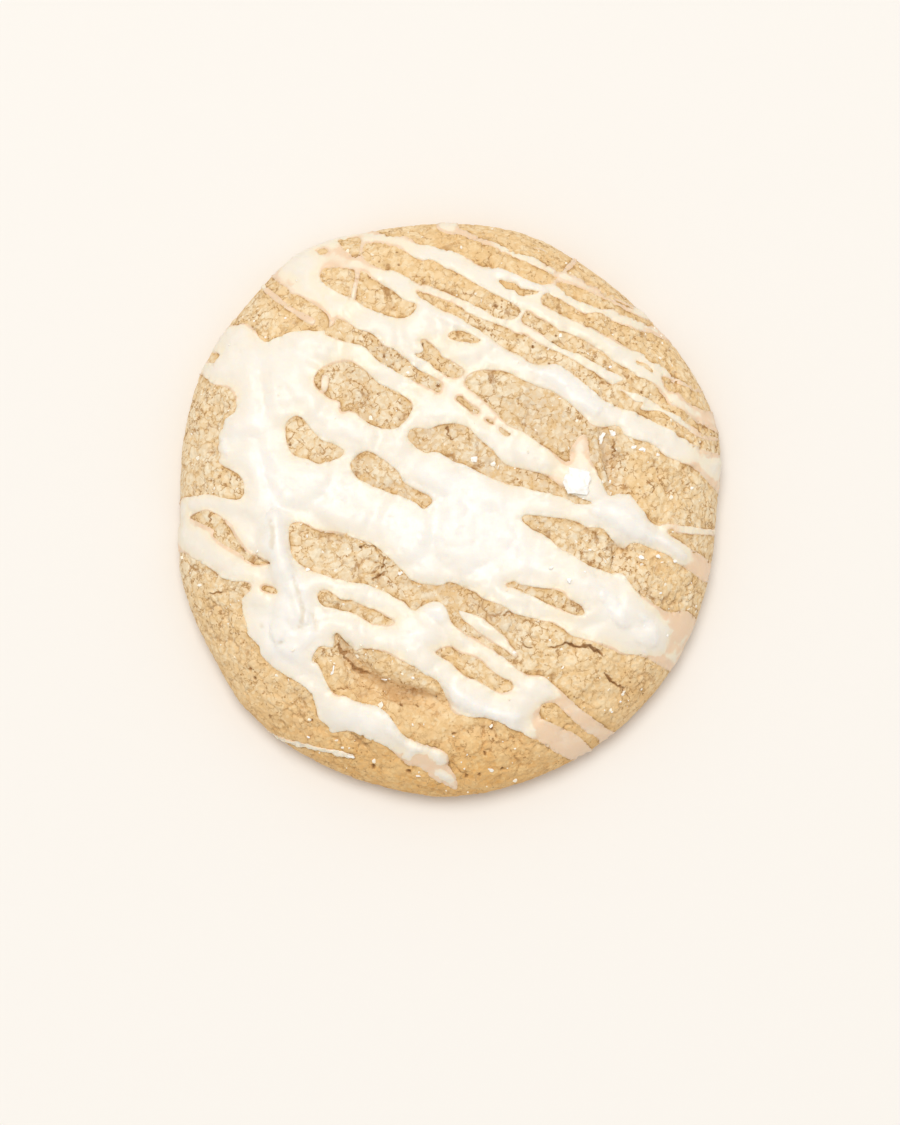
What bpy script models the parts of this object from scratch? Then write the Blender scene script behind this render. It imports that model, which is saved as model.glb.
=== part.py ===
"""An iced sugar cookie: one thick, soft-baked disc with a domed, lumpy top and a flat base.

The solid is the whole iced cookie as it is picked up. It stands on its flat base at z = 0, with +Z up,
and its origin is under the middle of its outline. Metres, +Z up.
"""

import itertools
import math

import bmesh
import bpy
import numpy as np

MM = 0.001

# Driving sizes.
DOME_HEIGHT = 15.8 * MM  # base to crown, before the crust's own relief
WAIST_HEIGHT = 3.8 * MM  # where the side stands furthest out
FOOT_INSET = 2.0 * MM  # how far the side tucks in below the waist
DOME_POWER = 5.2  # higher is a flatter top with a tighter shoulder
SHOULDER_POWER = 0.62  # lower is a rounder shoulder
RELIEF_EDGE = 0.86  # share of the radius where the top's relief starts to die away

# Radius of the outline at the waist, in millimetres, at even steps round from +X towards +Y.
RIM_RADII_MM = (
    44.1, 46.0, 46.0, 45.5, 46.0, 47.3, 47.4, 47.7, 48.9, 47.6, 46.8, 45.3,
    44.3, 45.5, 45.7, 46.9, 47.0, 47.0, 47.4, 46.6, 46.0, 45.4, 44.9, 44.2,
)  # fmt: skip

# Broad swellings and dips of the top, in millimetres: x, y, length, width, direction in degrees, height.
SWELLINGS_MM = (
    (-15.4, -26.0, 5.0, 1.8, -52, -1.5),  # the fold between the two lower mounds, which bends
    (-6.9, -31.4, 7.5, 1.9, -13, -1.7),
    (-7.4, -25.8, 9.0, 3.2, -30, 0.7),  # the mound above that fold
    (-10.4, -36.6, 13.0, 4.5, -24, 0.6),  # the mound below it
    (26.1, 7.0, 5.5, 2.0, 105, -1.3),  # the crease beside the right-hand pool
    (33.1, 4.5, 8.0, 5.5, 100, 0.6),
    (27.2, -9.0, 3.6, 1.3, 70, -0.8),  # the short crease between two lumps on the right
    (21.6, -27.6, 9.0, 6.0, -30, 0.5),
    (-27.9, -9.6, 11.0, 2.6, 100, 0.7),  # the ridge under the heavy vertical pour
    (11.6, 15.6, 11.0, 6.0, -32, 0.5),
    (13.6, 26.5, 16.0, 2.5, -30, -0.5),
    (-30.4, 18.6, 9.0, 7.0, 60, 0.4),
)

# Plates of the crackled crust. Their bulge and creases are shares of the relief.
PLATE_SIZE = 10.5 * MM
PLATE_RELIEF = 0.75 * MM
PLATE_BULGE = 0.35
CREASE_DEPTH = 0.65
CREASE_WIDTH = 0.35  # in plate sizes
PLATE_SEED = 5

# Constants of the repeatable hash that scatters the plates.
HASH_MIX = (127.1, 311.7, 74.7)
HASH_SEED_STEP = 17.37
HASH_SPREAD = 43758.5453

# Mesh density.
TOP_CELLS = 52  # across the top
SIDE_RINGS = 6
SLOPE_SAMPLES = 2000  # used to measure the dome's slope
SMOOTH_ANGLE = math.radians(40)  # a sharper edge than this is shaded as an edge

CRUST_COLOUR = (0.62, 0.40, 0.19, 1.0)
CRUST_ROUGHNESS = 0.85


def clear_scene():
    for obj in list(bpy.data.objects):
        bpy.data.objects.remove(obj, do_unlink=True)


def smoothstep(low, high, value):
    share = np.clip((value - low) / (high - low), 0.0, 1.0)
    return share * share * (3.0 - 2.0 * share)


def rim_radius(angle):
    """Radius of the outline at each angle: a closed Catmull-Rom curve through the rim radii."""
    radii = np.array(RIM_RADII_MM) * MM
    place = np.mod(angle / math.tau, 1.0) * len(radii)
    index = np.floor(place).astype(int)
    t = place - index
    before, start, end, after = (radii[(index + k) % len(radii)] for k in (-1, 0, 1, 2))
    bend = 2.0 * before - 5.0 * start + 4.0 * end - after
    turn = 3.0 * (start - end) + after - before
    return start + 0.5 * t * (end - before + t * (bend + t * turn))


def hash01(cells, seed):
    """A repeatable number from 0 to 1 for each row of whole-number cell coordinates."""
    mixed = cells @ np.array(HASH_MIX) + seed * HASH_SEED_STEP
    return np.modf(np.abs(np.sin(mixed) * HASH_SPREAD))[0]


def cell_distances(points, size, seed):
    """Distance from each point to the nearest and second nearest cell centre, in cell sizes."""
    scaled = points / size
    home = np.floor(scaled)
    nearest = np.full(len(points), np.inf)
    second = nearest.copy()
    for step in itertools.product((-1, 0, 1), repeat=3):
        cell = home + step
        centre = cell + np.stack([hash01(cell, seed + k) for k in range(3)], axis=1)
        distance = np.linalg.norm(scaled - centre, axis=1)
        closer = distance < nearest
        second = np.where(closer, nearest, np.minimum(second, distance))
        nearest = np.where(closer, distance, nearest)
    return nearest, second


def dome_height(share):
    """Height of the smooth dome at a share of the outline's radius, from 0 at the middle to 1."""
    rise = np.clip(1.0 - share**DOME_POWER, 0.0, 1.0) ** SHOULDER_POWER
    return WAIST_HEIGHT + (DOME_HEIGHT - WAIST_HEIGHT) * rise


def even_shares(way):
    """Shares of the radius at shares of the way down the dome's slope, so that cells stay even."""
    fine = np.linspace(0.0, 1.0, SLOPE_SAMPLES)
    radius = np.mean(RIM_RADII_MM) * MM
    steps = np.hypot(np.diff(fine) * radius, np.diff(dome_height(fine)))
    along = np.concatenate([[0.0], np.cumsum(steps)])
    return np.interp(way * along[-1], along, fine)


def swelling(x, y):
    """Height of the broad swellings and dips at each place on the top."""
    total = np.zeros_like(x)
    for centre_x, centre_y, length, width, direction, height in SWELLINGS_MM:
        turn = math.radians(direction)
        along = (x / MM - centre_x) * math.cos(turn) + (y / MM - centre_y) * math.sin(turn)
        across = (y / MM - centre_y) * math.cos(turn) - (x / MM - centre_x) * math.sin(turn)
        total += height * MM * np.exp(-((along / length) ** 2) - (across / width) ** 2)
    return total


def plates(points):
    """Height of the crackled crust: low rounded plates with a crease round each."""
    nearest, second = cell_distances(points, PLATE_SIZE, PLATE_SEED)
    crease = 1.0 - smoothstep(0.0, CREASE_WIDTH, second - nearest)
    return PLATE_RELIEF * (PLATE_BULGE * (1.0 - nearest) - CREASE_DEPTH * crease)


def disc_grid():
    """Way out from the middle and angle of each point of a square grid bent into a disc, row by row."""
    steps = np.linspace(-1.0, 1.0, TOP_CELLS + 1)
    across, up = (axis.ravel() for axis in np.meshgrid(steps, steps))
    wide = np.abs(across) > np.abs(up)
    longer, shorter = np.where(wide, across, up), np.where(wide, up, across)
    lean = math.pi / 4 * shorter / np.where(longer == 0.0, 1.0, longer)
    angle = np.where(wide, lean, math.pi / 2 - lean) + np.where(longer < 0.0, math.pi, 0.0)
    return np.abs(longer), angle


def top_points(way, angle):
    """Points of the top at each way out, from the middle at 0 to the waist at 1."""
    share = even_shares(way)
    radius = rim_radius(angle) * share
    flat = np.stack([radius * np.cos(angle), radius * np.sin(angle), dome_height(share)], axis=1)
    fade = 1.0 - smoothstep(RELIEF_EDGE, 1.0, share)
    flat[:, 2] += fade * (swelling(flat[:, 0], flat[:, 1]) + plates(flat))
    return flat


def side_points(share, angle):
    """Points of one ring of the side, from the waist at 0 to the base at 1."""
    turn = share * math.pi / 2
    radius = rim_radius(angle) - FOOT_INSET * (1.0 - math.cos(turn))
    height = np.full_like(radius, WAIST_HEIGHT * (1.0 - math.sin(turn)))
    return np.stack([radius * np.cos(angle), radius * np.sin(angle), height], axis=1)


def grid_outline(size):
    """Places of the outline of a square grid of points, in order round from its first corner."""
    index = np.arange(size * size).reshape(size, size)
    return np.concatenate([index[0, :-1], index[:-1, -1], index[-1, :0:-1], index[:0:-1, 0]])


def cookie_mesh():
    size = TOP_CELLS + 1
    way, angle = disc_grid()
    outline = grid_outline(size)

    shape = bmesh.new()
    top = [shape.verts.new(point) for point in top_points(way, angle)]
    for row, column in itertools.product(range(TOP_CELLS), repeat=2):
        corner = row * size + column
        corners = (corner, corner + 1, corner + size + 1, corner + size)
        shape.faces.new([top[place] for place in corners])
    upper = [top[place] for place in outline]
    for step in range(1, SIDE_RINGS + 1):
        ring = side_points(step / SIDE_RINGS, angle[outline])
        lower = [shape.verts.new(point) for point in ring]
        for a, b, c, d in zip(upper, lower, lower[1:] + lower[:1], upper[1:] + upper[:1]):
            shape.faces.new((a, b, c, d))
        upper = lower
    shape.faces.new(reversed(upper))  # the flat base
    bmesh.ops.triangulate(shape, faces=shape.faces, quad_method="SHORT_EDGE")

    mesh = bpy.data.meshes.new("cookie")
    shape.to_mesh(mesh)
    shape.free()
    return mesh


def crust_material():
    material = bpy.data.materials.new("baked_crust")
    material.use_nodes = True
    shader = material.node_tree.nodes["Principled BSDF"]
    shader.inputs["Base Color"].default_value = CRUST_COLOUR
    shader.inputs["Roughness"].default_value = CRUST_ROUGHNESS
    shader.inputs["Metallic"].default_value = 0.0
    return material


def add_cookie():
    mesh = cookie_mesh()
    mesh.materials.append(crust_material())
    mesh.shade_smooth()
    mesh.set_sharp_from_angle(angle=SMOOTH_ANGLE)
    cookie = bpy.data.objects.new("cookie", mesh)
    bpy.context.scene.collection.objects.link(cookie)
    return cookie


clear_scene()
add_cookie()
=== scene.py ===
"""An iced sugar cookie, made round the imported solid: a crackled crust, white icing drizzled over it in
strands and pools, and coarse sugar.

Lengths are in millimetres until a mesh is made. The icing is laid out on a chart, a flat disc that peels
the top and the side off the cookie: a chart point's distance from the middle is the way down the surface.
"""

import collections
import itertools
import math

import bmesh
import bpy
import numpy as np
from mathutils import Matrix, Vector
from mathutils.geometry import delaunay_2d_cdt


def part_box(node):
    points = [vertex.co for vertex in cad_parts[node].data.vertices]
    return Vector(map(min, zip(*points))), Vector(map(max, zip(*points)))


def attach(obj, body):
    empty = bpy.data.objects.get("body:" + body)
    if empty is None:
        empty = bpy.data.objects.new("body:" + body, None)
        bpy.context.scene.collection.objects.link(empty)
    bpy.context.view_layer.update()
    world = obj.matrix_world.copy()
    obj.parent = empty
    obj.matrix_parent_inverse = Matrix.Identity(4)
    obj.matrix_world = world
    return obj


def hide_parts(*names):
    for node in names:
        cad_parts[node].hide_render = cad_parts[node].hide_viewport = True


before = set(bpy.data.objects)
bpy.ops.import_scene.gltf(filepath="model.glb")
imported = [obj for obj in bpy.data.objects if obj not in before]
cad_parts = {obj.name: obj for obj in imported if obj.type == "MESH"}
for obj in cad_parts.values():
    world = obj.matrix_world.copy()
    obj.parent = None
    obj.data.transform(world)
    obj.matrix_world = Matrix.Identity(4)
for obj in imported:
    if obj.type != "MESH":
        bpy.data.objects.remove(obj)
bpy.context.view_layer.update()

MM = 0.001
SEED = 20

# The cookie's form, as in the solid it replaces.
DOME_HEIGHT = 15.8
WAIST_HEIGHT = 3.8
FOOT_INSET = 2.0
DOME_POWER = 5.2
SHOULDER_POWER = 0.62
RELIEF_EDGE = 0.86
RIM_RADII = (
    44.1, 46.0, 46.0, 45.5, 46.0, 47.3, 47.4, 47.7, 48.9, 47.6, 46.8, 45.3,
    44.3, 45.5, 45.7, 46.9, 47.0, 47.0, 47.4, 46.6, 46.0, 45.4, 44.9, 44.2,
)  # fmt: skip
SWELLINGS = (
    (-15.4, -26.0, 5.0, 1.8, -52, -1.5),
    (-6.9, -31.4, 7.5, 1.9, -13, -1.7),
    (-7.4, -25.8, 9.0, 3.2, -30, 0.7),
    (-10.4, -36.6, 13.0, 4.5, -24, 0.6),
    (26.1, 7.0, 5.5, 2.0, 105, -1.3),
    (33.1, 4.5, 8.0, 5.5, 100, 0.6),
    (27.2, -9.0, 3.6, 1.3, 70, -0.8),
    (21.6, -27.6, 9.0, 6.0, -30, 0.5),
    (-27.9, -9.6, 11.0, 2.6, 100, 0.7),
    (11.6, 15.6, 11.0, 6.0, -32, 0.5),
    (13.6, 26.5, 16.0, 2.5, -30, -0.5),
    (-30.4, 18.6, 9.0, 7.0, 60, 0.4),
)
PLATE_SIZE = 10.5
PLATE_RELIEF = 0.75
PLATE_BULGE = 0.35
CREASE_DEPTH = 0.65
CREASE_WIDTH = 0.35
PLATE_SEED = 5
HASH_MIX = (127.1, 311.7, 74.7)
HASH_SEED_STEP = 17.37
HASH_SPREAD = 43758.5453

# The camera. The layout below is drawn as it sees the cookie.
CAMERA_ELEVATION = math.radians(85)
CAMERA_DISTANCE = 800.0
VIEW_HEIGHT = 184.1  # height of the view at the waist
VIEW_CENTRE = (0.15, -8.85)  # where on the cookie it aims
LAYOUT_CENTRE = (0.5, -8.2)  # the same place in the layout
SENSOR = 36.0
CAMERA_CLIPS = (0.05, 10.0)  # in metres
CAMERA_RIGHT = np.array([1.0, 0.0, 0.0])
CAMERA_UP = np.array([0.0, math.sin(CAMERA_ELEVATION), math.cos(CAMERA_ELEVATION)])
SETTLING_ROUNDS = 4  # in which a place seen by the camera settles on the skin

# Bare crust that the icing leaves free: the outline of each patch, smooth through its points.
BARE_PATCHES = {
    "upper_left_corner": (
        (-39, 30.8), (-34, 31), (-32, 30.5), (-29.8, 28.1), (-25.5, 29.7), (-20, 30.1), (-20, 32.6),
        (-24, 35.4), (-25.6, 35.9), (-26.4, 36.9), (-28, 37.8), (-31, 40), (-37, 37),
    ),
    "left_strip": (
        (-19.9, 29.4), (-18, 28.4), (-13.8, 27.3), (-10.5, 24.4), (-3, 20.6), (-1.4, 19.9), (-1, 20.8),
        (-1.8, 21.8), (-4.9, 23.5), (-8, 26.1), (-10.3, 27.2), (-12.1, 29.2), (-14.8, 30), (-17.7, 31.8),
        (-18.4, 30.8),
    ),
    "short_strip": (
        (-4.3, 28), (-3.5, 28.2), (-1.3, 26.4), (-0.7, 25.4), (2.6, 23.4), (1.2, 22.2), (-1.7, 23.4),
        (-2.9, 24.6), (-5.2, 25.7), (-3.8, 26.4),
    ),
    "sliver": ((0.2, 29.1), (2.2, 29.7), (4.8, 28.5), (4.9, 28), (0.9, 28.3)),
    "upper_left_oval": (
        (-20.3, 40.2), (-14, 39.6), (-12.5, 38.4), (-9.8, 37.1), (-7, 34.7), (-5.2, 34.2), (-5.3, 33.1),
        (-7.4, 31.95), (-12.8, 33.5), (-15.5, 35.2), (-19.8, 37.2),
    ),
    "top_triangle": ((-17.9, 44.4), (-17, 44.9), (-14.4, 45), (-14.7, 42.2), (-15.6, 42.3)),
    "top_fleck": ((-21.5, 43), (-20.5, 43.4), (-19.7, 43), (-20.5, 42.6)),
    "second_strip": (
        (-13.4, 44.1), (-9.6, 43.9), (-4.6, 41.6), (-1.8, 41), (7.2, 36.1), (11.4, 33.8), (11.8, 32.6),
        (10.4, 31.7), (8, 32.1), (5.6, 33.6), (-2.5, 37.3), (-4.8, 37.8), (-8.7, 39.8), (-11, 40.1),
        (-13.4, 41.6),
    ),
    "top_strip": (
        (-13, 47.6), (-10, 45.6), (-6.8, 45.3), (-4.4, 44.1), (1, 42.9), (6, 40.7), (9, 40.1), (15, 37.6),
        (17.9, 38.5), (16, 39.7), (4, 44.9), (-1.4, 46.4), (-2, 49.5), (-8, 50),
    ),
    "rim_strip": (
        (2, 46.9), (4.4, 45.8), (16, 40.9), (18.6, 39.6), (19.6, 40.7), (21.4, 43.2), (17, 47), (8, 50),
        (3, 50),
    ),
    "rim_strip_right": (
        (19.8, 39.3), (24, 37.3), (29.4, 34.4), (31.2, 34.2), (30, 38.4), (25, 42), (22, 42.4), (21, 40.3),
    ),
    "gap_in_second_strand": (
        (8.5, 38.2), (11.2, 37.6), (12.3, 36.9), (15, 36), (12, 35.6), (11, 36.5), (9.4, 37),
    ),
    "third_strip_right": (
        (18.3, 37.8), (23, 36.4), (32, 32), (35, 30.8), (35, 30.4), (32, 31.2), (27.5, 33.2), (25, 33.5),
        (20, 35.7),
    ),
    "fourth_strip_right": (
        (15.5, 34.6), (16.4, 35.9), (18, 35.3), (22.5, 32.7), (25.4, 32.4), (30, 30.2), (33, 29.6),
        (36.2, 28.2), (41, 26), (44, 19.6), (38.8, 21.4), (35.6, 24), (33.3, 24.6), (32, 26.2), (29, 27.4),
        (25.8, 29.4), (18, 33),
    ),
    "fifth_strip": (
        (12.4, 31.4), (13.2, 33), (14.8, 31.8), (17, 30.9), (18.5, 29.7), (20.6, 29), (30, 23.3),
        (31.4, 22.1), (34, 20.9), (36.6, 17.8), (38.2, 17), (42, 14.4), (45, 12.6), (45, 12.1), (42, 13.2),
        (38, 15.9), (35.6, 16.9), (34, 18.3), (29.4, 20.1), (27.4, 20.9), (29, 22), (26.8, 23.3),
        (21.2, 26.2), (18.4, 27.2), (15, 29.6),
    ),
    "sixth_strip": (
        (-4.9, 36.2), (0.4, 34.5), (5.4, 31.9), (9.2, 30.6), (11.2, 29.3), (13, 28.9), (15, 27.6),
        (19.5, 25.6), (26.4, 21.5), (30.6, 18.3), (32.1, 18), (31.9, 16.9), (35.5, 16.2), (42, 12),
        (47, 11.6), (47, 9.8), (42.5, 10.1), (40, 11.6), (32, 16), (25.6, 18.7), (18.8, 24.2), (15.3, 24.4),
        (10, 26.9), (2.6, 31.8), (-2.6, 34.2),
    ),
    "near_right_rim": (
        (35.6, 21.8), (36.1, 22.2), (40.4, 20), (43.4, 19.4), (44.4, 16.8), (42, 16.9), (39, 18.7),
        (38, 20), (36.6, 20.2),
    ),
    "left_lobes": (
        (-21.7, 21.4), (-20.6, 23.4), (-18.6, 24.4), (-16, 24.7), (-13.5, 23.2), (-11.8, 21.5), (-7, 19),
        (-5.8, 17.6), (-6.3, 15.8), (-8, 14.1), (-10.4, 13.8), (-12.6, 14.5), (-15.6, 16.8), (-17.2, 16.6),
        (-17.6, 18.2), (-19.6, 19.1),
    ),
    "left_bean": (
        (-26.4, 13.5), (-25.5, 15.3), (-23.8, 15.3), (-20.6, 12), (-16.8, 10), (-20.5, 8.1), (-22.5, 8.7),
        (-25.5, 9.8),
    ),
    "left_drop": (
        (-15.7, 7.8), (-12.9, 9.9), (-8.4, 7), (-6.8, 4.8), (-2.5, 2.3), (-3.8, 0.7), (-5.9, 2.1),
        (-13.6, 5),
    ),
    "middle_band": (
        (-6.2, 12.2), (-5.4, 13.8), (-3, 13.6), (-0.8, 14.3), (2.6, 14.2), (7, 10.5), (10.3, 7.5),
        (15.5, 6.2), (21, 2.7), (23.7, 1.5), (21, 1.6), (19, 2.6), (8.6, 5.3), (3, 7.9), (1, 8.5),
        (-1.5, 10), (-3.8, 9.9),
    ),
    "big_oval_and_right": (
        (3.2, 21.6), (4.4, 22.8), (8.5, 23.2), (13.6, 21.1), (17.6, 19.6), (22.3, 15.9), (23.3, 14.5),
        (25, 13.9), (28, 14), (29.4, 12.4), (34, 11), (36, 9.2), (39.9, 7.6), (41.8, 6), (46.5, 0.6),
        (46.5, -2.2), (43, -2.6), (36.5, -1.8), (34, -1.9), (30.4, 2.6), (28.4, 3.4), (26.7, 2.8),
        (25.8, 4.2), (23.6, 9), (23.2, 12), (22.2, 12.8), (20.4, 10.8), (19.9, 8.6), (18.2, 9.2),
        (12.4, 13.4), (10, 14.5), (5.6, 18.8), (3.4, 20.6),
    ),
    "three_flecks_upper": ((1.7, 18.4), (2.3, 18.9), (3.8, 17.7), (5.3, 16.8), (4.6, 16.2)),
    "three_flecks_middle": ((6.2, 15.3), (7, 15.3), (7.6, 14.6), (6.8, 14.7)),
    "three_flecks_lower": ((8.7, 13.6), (9.4, 13.4), (10.2, 12.7), (9.4, 12.7)),
    "right_hook": (
        (36.2, -3.4), (36.9, -2.7), (38, -3.5), (44.8, -4.2), (46, -7), (44.6, -8.6), (40, -5.7),
    ),
    "right_pair": (
        (12.4, -1.2), (13.6, -0.5), (20.8, -1.5), (23, -2.5), (25.4, -2.8), (28.4, -6), (31, -5.1),
        (36, -7), (37.4, -8.3), (40, -9.7), (42, -11.3), (46, -12), (45, -16), (43, -18), (39, -16.1),
        (36, -16.1), (31, -12.8), (28.8, -9.9), (26, -9.7), (19, -6), (16.6, -4), (14, -2.8),
    ),
    "right_drop": (
        (9.7, -12), (11, -11.2), (12.4, -11.9), (18.4, -13), (20, -14.4), (22, -15.3), (22.5, -16.7),
        (20, -16.4), (12, -12.7),
    ),
    "long_band": (
        (-25.8, -2.6), (-24, -1.7), (-21, -2.9), (-13.4, -4.8), (-11.5, -5.8), (-7.2, -9.6), (-5.4, -11.4),
        (-1.2, -12), (0.6, -11.4), (4.2, -12.9), (5.8, -14.1), (9.6, -15.7), (11.4, -16.8), (18, -18.4),
        (20.6, -20.2), (25.6, -21.9), (29, -23.4), (32, -23.8), (37, -26.3), (40, -27), (36, -34),
        (29.6, -39), (27.5, -36.2), (23, -33), (16.2, -27.1), (12.6, -26.2), (7.4, -22.2), (2.4, -19.2),
        (0.7, -17.8), (0, -15.6), (-1.8, -14.5), (-3.8, -14.9), (-5.3, -16), (-7.4, -14.3), (-12.8, -11.8),
        (-16.2, -11.2), (-24.2, -8.3),
    ),
    "lower_strip": (
        (-21.2, -13.7), (-20, -12.8), (-17.4, -14.2), (-14.8, -14.8), (-9.1, -17.5), (-9.8, -18.4),
        (-12.6, -17.9), (-15.2, -16.5), (-20, -15.4),
    ),
    "lower_drop": (
        (-1.7, -23), (0.4, -22), (2, -22.9), (5.2, -24.2), (7.6, -26.4), (10.5, -27.9), (10.2, -29.1),
        (8, -29.1), (4.8, -27.3), (2.2, -26.2), (0.6, -24.4),
    ),
    "lower_right_bean": (
        (15.2, -32.6), (16.2, -31.4), (18.4, -31.9), (22.4, -36), (24.2, -36.8), (25.6, -39.4), (24.6, -40),
        (23, -37.9), (20.4, -36), (16, -33.8),
    ),
    "bottom": (
        (-22, -24.2), (-20.8, -22.1), (-18.6, -22), (-18, -19.9), (-15.4, -22.7), (-13.4, -22.5),
        (-10, -23.2), (-4.2, -26.2), (-1.2, -28.1), (0.8, -32.7), (4, -33.5), (7.8, -34.1), (11, -35.7),
        (20, -40.7), (22.6, -43.6), (12, -49), (-6, -52), (-22, -47), (-34, -39.4), (-43.6, -28),
        (-49, -12), (-47.6, -5.6), (-44.4, -6.2), (-38.8, -9.3), (-36.4, -11), (-32.4, -11.9),
        (-33.8, -14.6), (-33, -18), (-32.7, -20), (-30.8, -22), (-30.4, -23.4), (-28, -25.9), (-23, -28.9),
        (-21.8, -31.1), (-21.1, -33.8), (-19.8, -35), (-19, -36.3), (-15.9, -35.8), (-13.4, -37.1),
        (-11.6, -37.7), (-9, -39.4), (-6.6, -41.6), (-4.4, -41.9), (-2.6, -43.7), (0.6, -45.3),
        (1.8, -45.6), (1.8, -44), (0.5, -41.6), (-0.4, -39.2), (-6.6, -36.9), (-9.4, -33.2), (-11.6, -31.5),
        (-14.6, -30.9), (-16.6, -29.9), (-18.9, -29.3), (-21, -25),
    ),
    "left_rim": (
        (-45.4, 1.4), (-43.4, 2.4), (-39, 3.1), (-37, 2.4), (-34, 2.3), (-33.3, 4.2), (-34.1, 6.1),
        (-37.4, 8), (-37.3, 9.4), (-37.9, 11), (-36.4, 15.4), (-34.9, 16.4), (-34.9, 18.8), (-36.2, 20.4),
        (-38.4, 21), (-40, 22.3), (-42, 22.3), (-46, 21.8), (-49, 10),
    ),
    "left_dot": ((-38.4, 24.5), (-37.3, 25.6), (-38, 26.2), (-39.4, 26), (-40, 25.3)),
    "left_tear": (
        (-42.1, -0.8), (-40, 0.2), (-38.2, -0.1), (-36.2, -1.8), (-33.4, -6), (-29.4, -8.2), (-30.4, -8.6),
        (-32.6, -7.9), (-34.4, -6.4), (-38.2, -4), (-38.6, -2.6),
    ),
    "left_fleck": ((-30.5, -12.4), (-29.8, -11.9), (-28, -12.8), (-28.2, -13.3), (-30, -12.9)),
}

# Slim gaps and threads: points of x, y and half width, smooth through them.
BARE_STROKES = {
    "right_sliver": ((31.2, 24.8, 0.2), (32.4, 24.1, 0.4), (33.6, 23.2, 0.2)),
    "thread_gap": ((25.4, 35.9, 0.2), (27.6, 34.9, 0.25), (30.4, 33.6, 0.15)),
}
ICING_STROKES = {
    "corner_thread": ((-30.6, 37.4, 0.5), (-28.6, 35.6, 0.6), (-25.4, 33.3, 0.5), (-22, 31.2, 0.6)),
    "dab_in_lobes": ((-20.1, 20.4, 0.7), (-19.9, 22.1, 0.7)),
    "oval_thread": ((-14.6, 40.2, 0.5), (-14.8, 38.2, 0.4), (-15.5, 35.2, 0.5)),
    "rim_spot": ((-0.6, 47, 0.7), (0.3, 46.4, 0.7)),
    "rim_glaze": ((14.6, 43.6, 0.4), (16.2, 43.1, 0.5), (17.8, 42.5, 0.4)),
    "finger": (
        (2, -16, 0.2), (3, -16.9, 0.6), (5, -18.2, 1.1), (7, -19.8, 1.1), (9, -21.2, 0.9),
        (11.4, -23.4, 0.4),
    ),
    "rim_thread": (
        (-31, -35.7, 0.4), (-28, -37, 0.7), (-25, -38, 0.7), (-21, -38.9, 0.6), (-18, -39.5, 0.7),
        (-15.5, -40.3, 0.5),
    ),
}

# Cracks of the crust, as strokes too.
CRACKS = {
    "long_band": (
        (16.4, -22, 0.05), (18.2, -22, 0.12), (19.6, -21.4, 0.12), (21.2, -22, 0.22), (22.6, -21.9, 0.16),
        (24.2, -22.5, 0.2), (25.9, -23.6, 0.05),
    ),
    "band_corner": ((26, -26.3, 0.04), (27.2, -27.9, 0.14), (28.6, -28.6, 0.1), (30, -30.6, 0.05)),
    "fold": (
        (-17.9, -21.4, 0.06), (-16.6, -23.4, 0.14), (-15, -25.2, 0.12), (-13.6, -26.4, 0.05),
        (-12.4, -27.4, 0.02),
    ),
    "under_finger": ((11.2, -17.6, 0.03), (12, -20.9, 0.06), (12.9, -22.1, 0.072), (14.2, -21.9, 0.03)),
    "band_top": ((7.7, -16.8, 0.03), (8.8, -17, 0.06), (10.4, -16.4, 0.06), (11.4, -17.8, 0.03)),
    "band_left": ((-12, -11.2, 0.03), (-10.8, -10.1, 0.06), (-8.6, -9.8, 0.03)),
    "band_left_upper": (
        (-14.4, -5.5, 0.08), (-12.3, -5.3, 0.02), (-11.2, -6.7, 0.06), (-10.1, -7.5, 0.06),
        (-10.8, -9.4, 0.03),
    ),
    "right_crease": (
        (27.1, 12.1, 0.03), (27.2, 10.2, 0.1), (27, 9, 0.05), (26.2, 7.5, 0.06), (26.8, 5.6, 0.03),
    ),
    "left_side": (
        (-40.4, -13.2, 0.03), (-38.6, -13.4, 0.09), (-37, -12.9, 0.06), (-33.4, -12, 0.048),
        (-31.2, -11.4, 0.03),
    ),
    "left_pool": ((-30.7, -10.2, 0.03), (-29.3, -9, 0.12), (-28.9, -8.2, 0.06)),
    "middle_band": ((0, 14.2, 0.06), (0.2, 13.2, 0.09), (0.6, 12.4, 0.09), (1.2, 12.2, 0.03)),
    "right_area": ((32.6, 5.3, 0.03), (34, 3.9, 0.06), (33.8, 3.2, 0.03)),
    "between_lumps": ((27.9, -6.6, 0.012), (27.2, -8.4, 0.048), (27.4, -9.4, 0.024)),
    "lower_pour": ((-18.8, -29.1, 0.03), (-17, -28.7, 0.072), (-15.6, -28.2, 0.03)),
}

# Broad furrows of the crust: where two mounds of dough meet.
FURROWS = {
    "fold": (
        (-18, -20.5, 0), (-16.2, -23.4, 0.3), (-14.6, -25.6, 0.5), (-12.6, -27.4, 0.6), (-8.7, -29.4, 0.6),
        (-4.7, -30, 0.5), (-2.4, -30.6, 0.4), (-0.2, -31.3, 0.1),
    ),
    "right_crease": ((25.2, 13.6, -0.3), (26.2, 11, -0.1), (26.8, 8.4, 0.1), (26.8, 5.4, -0.2)),
    "between_lumps": ((28.2, -5.9, -0.4), (27.6, -7.6, -0.2), (27.2, -9.6, -0.4)),
}

# Furrows of the icing, between runs of it that met.
ICING_FURROWS = {
    "pour": ((-25.2, -10.6, 0.05), (-24.2, -13, 0.2), (-23.6, -16, 0.25), (-24, -18.6, 0.1)),
    "pour_upper": ((-28.8, -1, 0.05), (-28.3, -3.5, 0.15), (-28.5, -6, 0.05)),
    "pool_left": ((-22.2, -16.4, 0.05), (-21.4, -18, 0.1), (-21.2, -19.4, 0.05)),
}

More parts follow.
